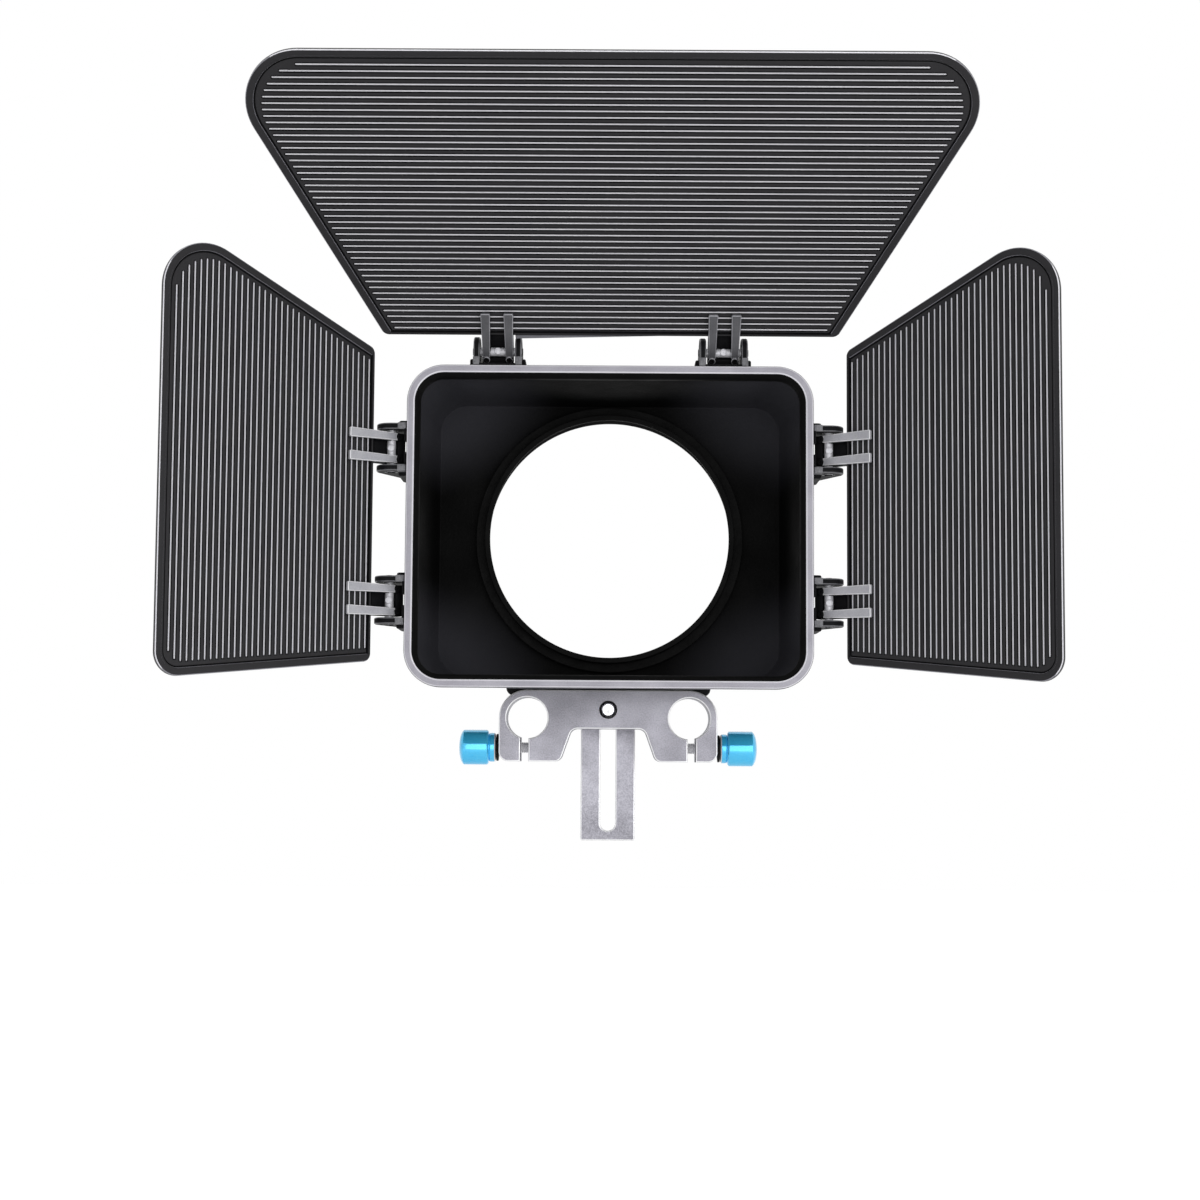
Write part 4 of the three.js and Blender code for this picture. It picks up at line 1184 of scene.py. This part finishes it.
def make_bracket(side, hinge):
    """Two ears with their feet, blocks and fills, and the strip between them."""
    parts = []
    ear_end = EAR_GAP + EAR_THICK
    for sign in (-1, 1):
        foot_x = beside(sign, EAR_GAP + FOOT_STEP, ear_end + FOOT_OVERHANG)
        block_x = beside(sign, EAR_GAP + BLOCK_STEP, ear_end + BLOCK_OVERHANG)
        fill_x = beside(sign, EAR_GAP + SINK, 0 if side == "top" else FILL_END)
        ear_x = beside(sign, EAR_GAP, ear_end)
        block = brick((-BLOCK_LEAD, RIM_SEAT, block_x[0]), (-FOOT_LEAD, FOOT_TOP, block_x[1]), BLOCK_EDGE)
        # The block is painted a paler grey as painted light.
        paint(block.faces, BLOCK)
        parts += [
            plate(ear_path(side), *ear_x, BRACKET_EDGE, [(0, 0, PIN_HOLE)], edge_index=EDGE),
            plate(foot_path(side), *foot_x, FOOT_EDGE),
            block,
            brick((-BLOCK_LEAD, RIM_SEAT, fill_x[0]), (-FILL_REAR, FILL_TOP, fill_x[1]), FILL_EDGE),
        ]
    strip_low = (FOOT_END - STRIP_LENGTH, shell_at(side, FOOT_END), -EAR_GAP - SINK)
    strip = brick(strip_low, (FOOT_END, STRIP_TOP, EAR_GAP + SINK), BLOCK_EDGE)
    whole = gather(*parts, strip)
    whole.transform(SIDEWAYS)
    place = side_place(side) @ hinge_shift(side, hinge)
    materials = [hinge_plastic, hinge_edge_plastic, hinge_block_plastic]
    finish(whole, hinge + "_hinge_bracket", "hood", materials, place)


print("a bracket is", 2 * (EAR_GAP + EAR_THICK), "mm wide over its ears")

# %% [markdown]
# ## Hinge pins
# A bright cross pin goes through both ears and through the clip. In its middle the round end
# of a small screw stands out, with a slight dish. The pin is spun, and so is the screw end, which is
# turned to face the front. The pin's ends are blackened.

# %% A pin and its small screw
PIN_HALF = 8.9
PIN_CHAMFER = 0.35
PIN_SCREW = 1.3
PIN_SCREW_RISE = 0.25


def make_pin(side, hinge):
    """The cross pin with its screw end."""
    neck, end = PIN_RADIUS - PIN_CHAMFER, PIN_HALF - PIN_CHAMFER
    shaft = turned([
        (0, -PIN_HALF), (neck, -PIN_HALF), (PIN_RADIUS, -end),
        (PIN_RADIUS, end), (neck, PIN_HALF), (0, PIN_HALF),
    ], steps=SMALL_STEPS)
    paint(shaft.faces, lambda face: abs(face.calc_center_median().z) > end)
    shaft.transform(Matrix.Rotation(math.pi / 2, 4, "Y"))
    tip = PIN_RADIUS + PIN_SCREW_RISE
    screw = turned([
        (0, 0), (PIN_SCREW, 0), (PIN_SCREW, tip - 0.2), (PIN_SCREW - 0.2, tip), (PIN_SCREW - 0.4, tip),
        (PIN_SCREW - 0.5, tip - 0.2), (0, tip - 0.15),
    ], steps=TINY_STEPS)
    screw.transform(Matrix.Rotation(math.radians(90 - side_leans[side]), 4, "X"))
    place = leaf_place(side) @ hinge_shift(side, hinge)
    materials = [satin_steel, black_washer_and_shade]
    finish(gather(shaft, screw), hinge + "_hinge_pin", side + "_flag", materials, place)


print("a pin is", 2 * PIN_HALF, "mm long")

# %% [markdown]
# ## Clips
# A clip holds the flag's near edge between two grey prongs in front and a dark plate behind. Dark
# webs join them round the pin, and a crossbar closes the root. Every prong is drawn from the front,
# narrows from its tip to its root, and is hollowed there round a small stud. The prongs' grey is
# painted light on the side flags and painted shade on the upper one, and their bevels carry a
# painted highlight.

# %% Prongs, studs and webs
PRONG_X = 4.05
PRONG_ROOT = 1.9
PRONG_TIP_HALF = 1.675
PRONG_ROOT_HALF = 1.3
PRONG_FRONT = 2.8  # in front of the flag's middle plane
PRONG_REAR = 1.3
PRONG_EDGE = 0.25
HOLLOW, HOLLOW_TURN = 1.4, 80  # radius and degrees of the hollow in a prong's root
STUD = 1.28  # radius of the round stud at a prong's root
CLIP_HALF = 5.5
CLIP_PLATE = (-2.6, -1.3)
WEB_INNER = 2.5
WEB_END = 6.6
# The last of these materials is a painted highlight on the prongs' bevels and studs.
DARK, PRONG_HIGHLIGHT = 1, 2  # the clip's materials after its own
prong_tips = {"top": 16.0, "left": 18.2, "right": 18.2}
stud_profile = [(0, -1.5), (STUD, -1.5), (STUD, -0.25), (STUD - 0.25, 0), (0.5, 0), (0.4, -0.4), (0, -0.4)]


def prong_path(x, tip):
    """A prong from the front: its root is hollowed round a stud, and its tip has small round corners."""
    hollow = math.radians(HOLLOW_TURN / 2)
    half, height = HOLLOW * math.sin(hollow), HOLLOW * math.cos(hollow) - PRONG_ROOT
    return [
        (x - PRONG_ROOT_HALF, height),
        (x - half, height),
        ("turn", x, -PRONG_ROOT, -HOLLOW_TURN),
        (x + PRONG_ROOT_HALF, height),
        (x + PRONG_TIP_HALF, tip, 0.4),
        (x - PRONG_TIP_HALF, tip, 0.4),
    ]


def make_stud(x, edge_light):
    """The stud in a prong's root, whose rim may carry a painted highlight."""
    stud = turned(stud_profile, steps=TINY_STEPS)
    paint(stud.faces, lambda face: PRONG_HIGHLIGHT if edge_light and 0.5 < abs(face.normal.z) < 0.97 else DARK)
    stud.transform(facing((x, -PRONG_FRONT, -PRONG_ROOT), (0, -1, 0)))
    return stud


def web_path():
    """A web from its side, with the notch in which the pin lies."""
    front, rear = 0.3 - PRONG_FRONT + 0.9, -CLIP_PLATE[0]
    notch = math.sqrt(PIN_HOLE**2 - front**2)
    turn = 360 - 2 * math.degrees(math.atan2(notch, -front))
    return [
        (front, -PRONG_ROOT),
        (rear, -PRONG_ROOT),
        (rear, WEB_END),
        (front, WEB_END),
        (front, notch),
        ("turn", 0, 0, -turn),
    ]


print("prongs stand", 2 * PRONG_X, "mm apart")

# %% Clips and all hinges
CROSSBAR = (-4.9, -1.8)
PEG_HOLE, PEG_DROP = 0.8, 3.0  # radius of a hole in the back plate, and its distance from the tip
WEB_EDGE, BACK_EDGE = 0.2, 0.3


def make_clip(side, hinge):
    """Two grey prongs and the dark parts behind them."""
    tip, root = prong_tips[side], -PRONG_ROOT - PRONG_ROOT_HALF
    pair = (-PRONG_X, PRONG_X)
    grey = gather(*[
        plate(prong_path(x, tip), PRONG_REAR, PRONG_FRONT, PRONG_EDGE, edge_index=PRONG_HIGHLIGHT) for x in pair
    ])
    grey.transform(UPRIGHT)
    studs = [make_stud(x, side == "top") for x in pair]
    webs = [plate(web_path(), low, low + CLIP_HALF - WEB_INNER, WEB_EDGE) for low in (-CLIP_HALF, WEB_INNER)]
    dark = gather(*webs)
    dark.transform(SIDEWAYS)
    back_path = rectangle(2 * CLIP_HALF - 0.04, tip - root, 0.8, (0, (tip + root) / 2))
    back = plate(back_path, *CLIP_PLATE, BACK_EDGE, [(x, tip - PEG_DROP, PEG_HOLE) for x in pair])
    back.transform(UPRIGHT)
    bar = brick((-CLIP_HALF, -1.6, CROSSBAR[0]), (CLIP_HALF, -CLIP_PLATE[0], CROSSBAR[1]), BACK_EDGE)
    rest = brick((-WEB_INNER - SINK, 0.95, 2.2), (WEB_INNER + SINK, 2.0, WEB_END), WEB_EDGE)
    dark = gather(dark, back, bar, rest)
    paint(dark.faces, DARK)
    place = leaf_place(side) @ hinge_shift(side, hinge)
    # The upper clips take the darker copies: painted shade, for faces that look down.
    own, edge_light = (dark_clip_plastic, dark_clip_edge) if side == "top" else (clip_plastic, clip_edge_plastic)
    whole, materials = gather(grey, dark, *studs), [own, hinge_plastic, edge_light]
    finish(whole, hinge + "_flag_clip", side + "_flag", materials, place)


for side, hinges in side_hinges.items():
    for hinge in hinges:
        make_bracket(side, hinge)
        make_pin(side, hinge)
        make_clip(side, hinge)

# %% [markdown]
# ## Flags
# A flag is a thin plate with a raised border and many fine ribs that run along the hinge. It
# could be one grid with a pattern in its material, but ribs built as shapes catch light on one side
# at every angle, and their crests are also painted bright as a highlight and their near sides dark as
# shade. So a frame is cut out of the outline, a field lies a little lower inside it, and between the
# two is a narrow groove whose floor is painted dark as shade.

# %% A flag's sizes, and shrinking its outline
FLAG_HALF = 0.95  # half of its thickness
FLAG_BORDER = 2.7
FLAG_ROOT_BORDER = 1.1
FLAG_EDGE = 0.3
FIELD_EDGE = 0.12
FIELD_FOOT, FIELD_HEIGHT = -0.2, 0.35
BACK_LEVELS = (-0.6, -0.15)
BACK_OVERLAP = 0.4  # of the back and the border round it
GROOVE_WIDTH = 0.5
RIB_MARGIN = 1.6
RIB_WIDTH = 1.36
RIB_SLOPE = 0.46  # width of a rib's sloping sides
RIB_LEAN = 0.26  # how far its top leans away from the hinge
RIB_RISE = 0.45
RIB_SINK = 0.05  # how far its foot goes into the field
RIB_CORNER = 0.8  # the ribs' ends follow a corner rounder than the border's
RIB_SHIFT = 0.7  # and a rib is as long as the outline is this much further out
BEAD = (0.6, 0.12)  # a fine bead lies on the border, between these distances from its inner edge
BEAD_RISE = 0.05


def shrink(corners, inset, first_inset):
    """An outline's corners moved in by an inset, but by first_inset along its first edge."""
    moved = []
    for i, (x, z, radius) in enumerate(corners):
        into, out = headings(corners[i - 1], (x, z), corners[(i + 1) % len(corners)])
        depth_in = first_inset if i == 1 else inset
        depth_out = first_inset if i == 0 else inset
        spot = Vector((x, z)) + (out * depth_in - into * depth_out) / into.cross(out)
        moved.append((spot.x, spot.y, max(radius - inset, 0.3)))
    return moved


def row_ends(corners, height):
    """Where a straight row at a height enters and leaves a rounded outline."""
    bm = bmesh.new()
    draw(bm, corners)
    crossings = []
    for edge in bm.edges:
        a, b = (vert.co for vert in edge.verts)
        if (a.y > height) != (b.y > height):
            crossings.append(a.x + (b.x - a.x) * (height - a.y) / (b.y - a.y))
    bm.free()
    return (min(crossings), max(crossings)) if crossings else None


print("a flag is", 2 * FLAG_HALF, "mm thick")

# %% Ribs with a painted bright crest and a painted dark foot
RIB_STEP = 30  # degrees, so that many ribs stay light
# Of these, the crest is a painted highlight, the foot painted shade, the third a painted highlight on
# bevels.
CREST, FOOT, FLAG_EDGE_LIGHT, LIP = 1, 2, 3, 4  # materials of a flag, after its own


def rib_shade(face):
    """A rib's top is painted bright as a highlight, and its near side painted dark as shade."""
    return CREST if face.normal.z > 0.9 else FOOT if face.normal.y < -0.3 else 0


def rib(ends, height):
    """One closed rib with round ends."""
    bm = bmesh.new()
    left, right = ends
    draw(bm, rectangle(right - left, RIB_WIDTH, RIB_WIDTH * 0.49, ((left + right) / 2, height)), RIB_STEP)
    face = fill_one(bm)
    lift(bm, bm.verts[:], FIELD_HEIGHT - RIB_SINK)
    settings = {"faces": [face], "use_even_offset": True, "use_boundary": True}
    bmesh.ops.inset_region(bm, thickness=RIB_SLOPE, depth=RIB_RISE + RIB_SINK, **settings)
    bmesh.ops.translate(bm, verts=list(face.verts), vec=(0, RIB_LEAN, 0))
    bmesh.ops.holes_fill(bm, edges=open_edges(bm), sides=0)
    turn_out(bm)
    if face.normal.z < 0:
        bmesh.ops.reverse_faces(bm, faces=bm.faces[:])
    paint(bm.faces, rib_shade)
    return bm


def make_ribs(corners, rows):
    """All ribs of a flag, each as long as its outline is there."""
    outline = [
        (x, z, radius + RIB_CORNER)
        for x, z, radius in shrink(corners, FLAG_BORDER + RIB_MARGIN, FLAG_ROOT_BORDER)
    ]
    last = outline[2][1] - 0.2
    places = ((row_ends(outline, min(row + RIB_SHIFT, last)), row) for row in rows)
    return [rib(ends, row) for ends, row in places if ends]


print("a rib is", RIB_WIDTH, "mm wide and", RIB_RISE, "mm high")

# %% Border, bead and lip
GROOVE_STEP = 0.3  # from the border's near edge to the field
LIP_START, LIP_END, LIP_HEIGHT = -33.7, 25.0, 1.6


def make_frame(corners):
    """The raised border. Its bevels carry a painted highlight, which is brightest at the far edge, and
    painted shade at the near one.
    """
    hole = shrink(corners, FLAG_BORDER, FLAG_ROOT_BORDER)
    near, far = corners[0][1] + FLAG_ROOT_BORDER + GROOVE_STEP, corners[2][1] - FLAG_BORDER

    def frame_shade(face):
        height = face.calc_center_median().y
        if face.material_index != FLAG_EDGE_LIGHT or near < height < far:
            return face.material_index
        return CREST if height > far else FOOT

    frame_part = plate(corners, -FLAG_HALF, FLAG_HALF, FLAG_EDGE, cutouts=[hole], edge_index=FLAG_EDGE_LIGHT)
    paint(frame_part.faces, frame_shade)
    return frame_part


def make_bead(corners):
    """The fine bead that runs up one side of the border, over its far edge and down the other."""
    outer, inner = (shrink(corners, FLAG_BORDER - inset, FLAG_ROOT_BORDER) for inset in BEAD)
    ends = [corner[:2] for corner in (outer[1], inner[1], inner[0], outer[0])]
    path = [outer[3], outer[2], *ends[:2], inner[2], inner[3], *ends[2:]]
    bead = plate(path, FLAG_HALF - 0.2, FLAG_HALF + BEAD_RISE)
    # The bead's far part is painted light as a highlight.
    lit_from = corners[2][1] - FLAG_BORDER - 1
    paint(bead.faces, lambda face: FLAG_EDGE_LIGHT if face.calc_center_median().y > lit_from else 0)
    return bead


def make_lip():
    """The small lip on the upper flag's near edge."""
    path = [
        (LIP_START, TOP_ROOT - LIP_HEIGHT, 0.5), (LIP_END, TOP_ROOT - 0.05),
        (LIP_END, TOP_ROOT + 0.3), (LIP_START, TOP_ROOT + 0.3),
    ]
    lip = plate(path, -FLAG_HALF + 0.05, FIELD_HEIGHT, 0.2)
    paint(lip.faces, LIP)
    return lip


print("the lip stands out by", LIP_HEIGHT, "mm")

# %% The three flags
TOP_ROOT, TOP_REACH = 7.0, 109.3  # from the hinge's line to the near and the far edge
SIDE_ROOT, SIDE_REACH = 7.8, 88.4
flag_corners = {
    "top": [(-80, TOP_ROOT, 3), (80, TOP_ROOT, 3), (133.3, TOP_REACH, 18.5), (-133.3, TOP_REACH, 18.5)],
    "left": [(-48.7, SIDE_ROOT, 3), (61.7, SIDE_ROOT, 3), (98.3, SIDE_REACH, 16.3), (-56.8, SIDE_REACH, 8)],
    "right": [(-61.7, SIDE_ROOT, 3), (48.7, SIDE_ROOT, 3), (56.8, SIDE_REACH, 8), (-98.3, SIDE_REACH, 16.3)],
}
side_rows = [9.8 + 2.165 * i for i in range(35)]
rib_rows = {"top": [9.45 + 2.2 * i for i in range(44)], "left": side_rows, "right": side_rows}


def make_flag(side):
    """A flag with its frame, bead, field, groove floor and ribs; the upper one has a lip."""
    corners = flag_corners[side]
    field_path = shrink(corners, FLAG_BORDER + GROOVE_WIDTH, FLAG_ROOT_BORDER + GROOVE_STEP)
    field = plate(field_path, FIELD_FOOT, FIELD_HEIGHT, FIELD_EDGE)
    back = plate(shrink(corners, FLAG_BORDER - BACK_OVERLAP, FLAG_ROOT_BORDER - BACK_OVERLAP), *BACK_LEVELS)
    # The groove's floor is painted black as shade.
    paint(back.faces, lambda face: FOOT if face.normal.z > 0.5 else 0)
    ribs = make_ribs(corners, rib_rows[side])
    lips = [make_lip()] if side == "top" else []
    whole = gather(make_frame(corners), make_bead(corners), field, back, *ribs, *lips)
    # The washers' black serves here as the flags' painted shade.
    materials = [flag_plastic, crest_plastic, black_washer_and_shade, flag_edge_plastic, lip_plastic]
    place = leaf_place(side) @ UPRIGHT
    finish(whole, side + "_flag", side + "_flag", materials, place)
    print(side, "flag has", len(ribs), "ribs")


for side in side_hinges:
    make_flag(side)

# %% [markdown]
# ## Floor, light and camera
# The object hangs on its rods, so the floor lies well below it and only carries a soft shadow. A
# large soft box in front lights the faces and draws the hard-edged bands on the knobs, and a weaker
# one above lights the ribs' upper sides. The camera and the polished metal look at a white room: Light
# Path tells a ray that looks from a ray that lights a surface, which gets a weaker light.

# %% Floor and world
FLOOR_DROP = 0.32
FLOOR_FADE = (0.4, 1.1)  # distances between which the floor turns white, in metres
FLOOR_GLOW = (0.3, 0.7)  # and its own light there
WORLD_LIGHT = 0.4


def seen_rays(tree):
    """A socket that is 1 for rays that look at the surroundings, and 0 for rays that light a surface."""
    rays = add_node(tree, "LightPath").outputs
    looks = rays["Is Camera Ray"]
    for kind in ("Is Glossy Ray", "Is Transmission Ray"):
        looks = add_node(tree, "Math", {0: looks, 1: rays[kind]}, operation="MAXIMUM").outputs[0]
    return looks


def floor_material():
    """A pale floor that turns white with its distance, and keeps the shadows near the object."""
    material = bpy.data.materials.new("pale_floor")
    material.use_nodes = True
    tree = material.node_tree
    shader = tree.nodes["Principled BSDF"]
    shader.inputs["Base Color"].default_value = colour("#f4f4f4")
    shader.inputs["Roughness"].default_value = 0.9
    shader.inputs["Emission Color"].default_value = colour("#ffffff")
    where = add_node(tree, "TexCoord").outputs["Object"]
    away = add_node(tree, "VectorMath", {0: where}, operation="LENGTH").outputs["Value"]
    reach = dict(zip(("From Min", "From Max", "To Min", "To Max"), FLOOR_FADE + FLOOR_GLOW))
    far = add_node(tree, "MapRange", {"Value": away, **reach}).outputs["Result"]
    glow = add_node(tree, "Math", {0: seen_rays(tree), 1: far}, operation="MULTIPLY")
    tree.links.new(glow.outputs[0], shader.inputs["Emission Strength"])
    return material


ground = bmesh.new()
bmesh.ops.create_grid(ground, x_segments=2, y_segments=2, size=4)
lift(ground, ground.verts[:], -FLOOR_DROP)
add_mesh("floor", ground, [floor_material()])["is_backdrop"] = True

world = bpy.data.worlds.new("white_room")
bpy.context.scene.world = world
world.use_nodes = True
background = world.node_tree.nodes["Background"]
background.inputs["Color"].default_value = colour("#ffffff")
levels = {"Value": seen_rays(world.node_tree), "To Min": WORLD_LIGHT, "To Max": 1.0}
strength = add_node(world.node_tree, "MapRange", levels)
world.node_tree.links.new(strength.outputs["Result"], background.inputs["Strength"])
print("world light", WORLD_LIGHT)

# %% Soft boxes


def soft_box(name, place, target, width, height, power):
    """A rectangular lamp that faces a target."""
    lamp = bpy.data.lights.new(name, "AREA")
    lamp.shape = "RECTANGLE"
    lamp.size, lamp.size_y = width, height
    lamp.energy = power
    aim = (Vector(target) - Vector(place)).to_track_quat("-Z", "Y")
    add_object(name, lamp).matrix_world = Matrix.Translation(place) @ aim.to_matrix().to_4x4()
    print(name, power, "W")


soft_box("top_box", (0, -0.2, 1.1), (0, 0, 0.05), 1.2, 0.6, 5)
soft_box("front_box", (0.35, -1.2, 0.0), (0, 0, 0.0), 1.6, 0.9, 8)

# %% Camera
CAMERA_PLACE = (0, -0.752, -0.0147)
CAMERA_PITCH = 4.486  # degrees up from level
CAMERA_YAW = 0.256
CAMERA_ROLL = 0.4
CAMERA_LENS, CAMERA_SENSOR = 60.42, 36  # in millimetres

camera_data = bpy.data.cameras.new("camera")
camera_data.lens = CAMERA_LENS
camera_data.sensor_width = CAMERA_SENSOR
camera_data.clip_start = 0.01
camera = add_object("camera", camera_data)
camera.location = CAMERA_PLACE
pitch, yaw, roll = (math.radians(d) for d in (90 + CAMERA_PITCH, CAMERA_YAW, CAMERA_ROLL))
turn = Matrix.Rotation(yaw, 4, "Z") @ Matrix.Rotation(pitch, 4, "X") @ Matrix.Rotation(roll, 4, "Z")
camera.rotation_euler = turn.to_euler()
bpy.context.scene.camera = camera
bpy.context.scene.view_settings.view_transform = "Standard"
print("camera at", CAMERA_PLACE)

# %% Sizes of the frame and of the finished object
visual_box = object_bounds()
for low, high in zip(cad_box[0] - visual_box[0], visual_box[1] - cad_box[1]):
    print("stands out by", round(low / MM, 2), "and", round(high / MM, 2), "mm")
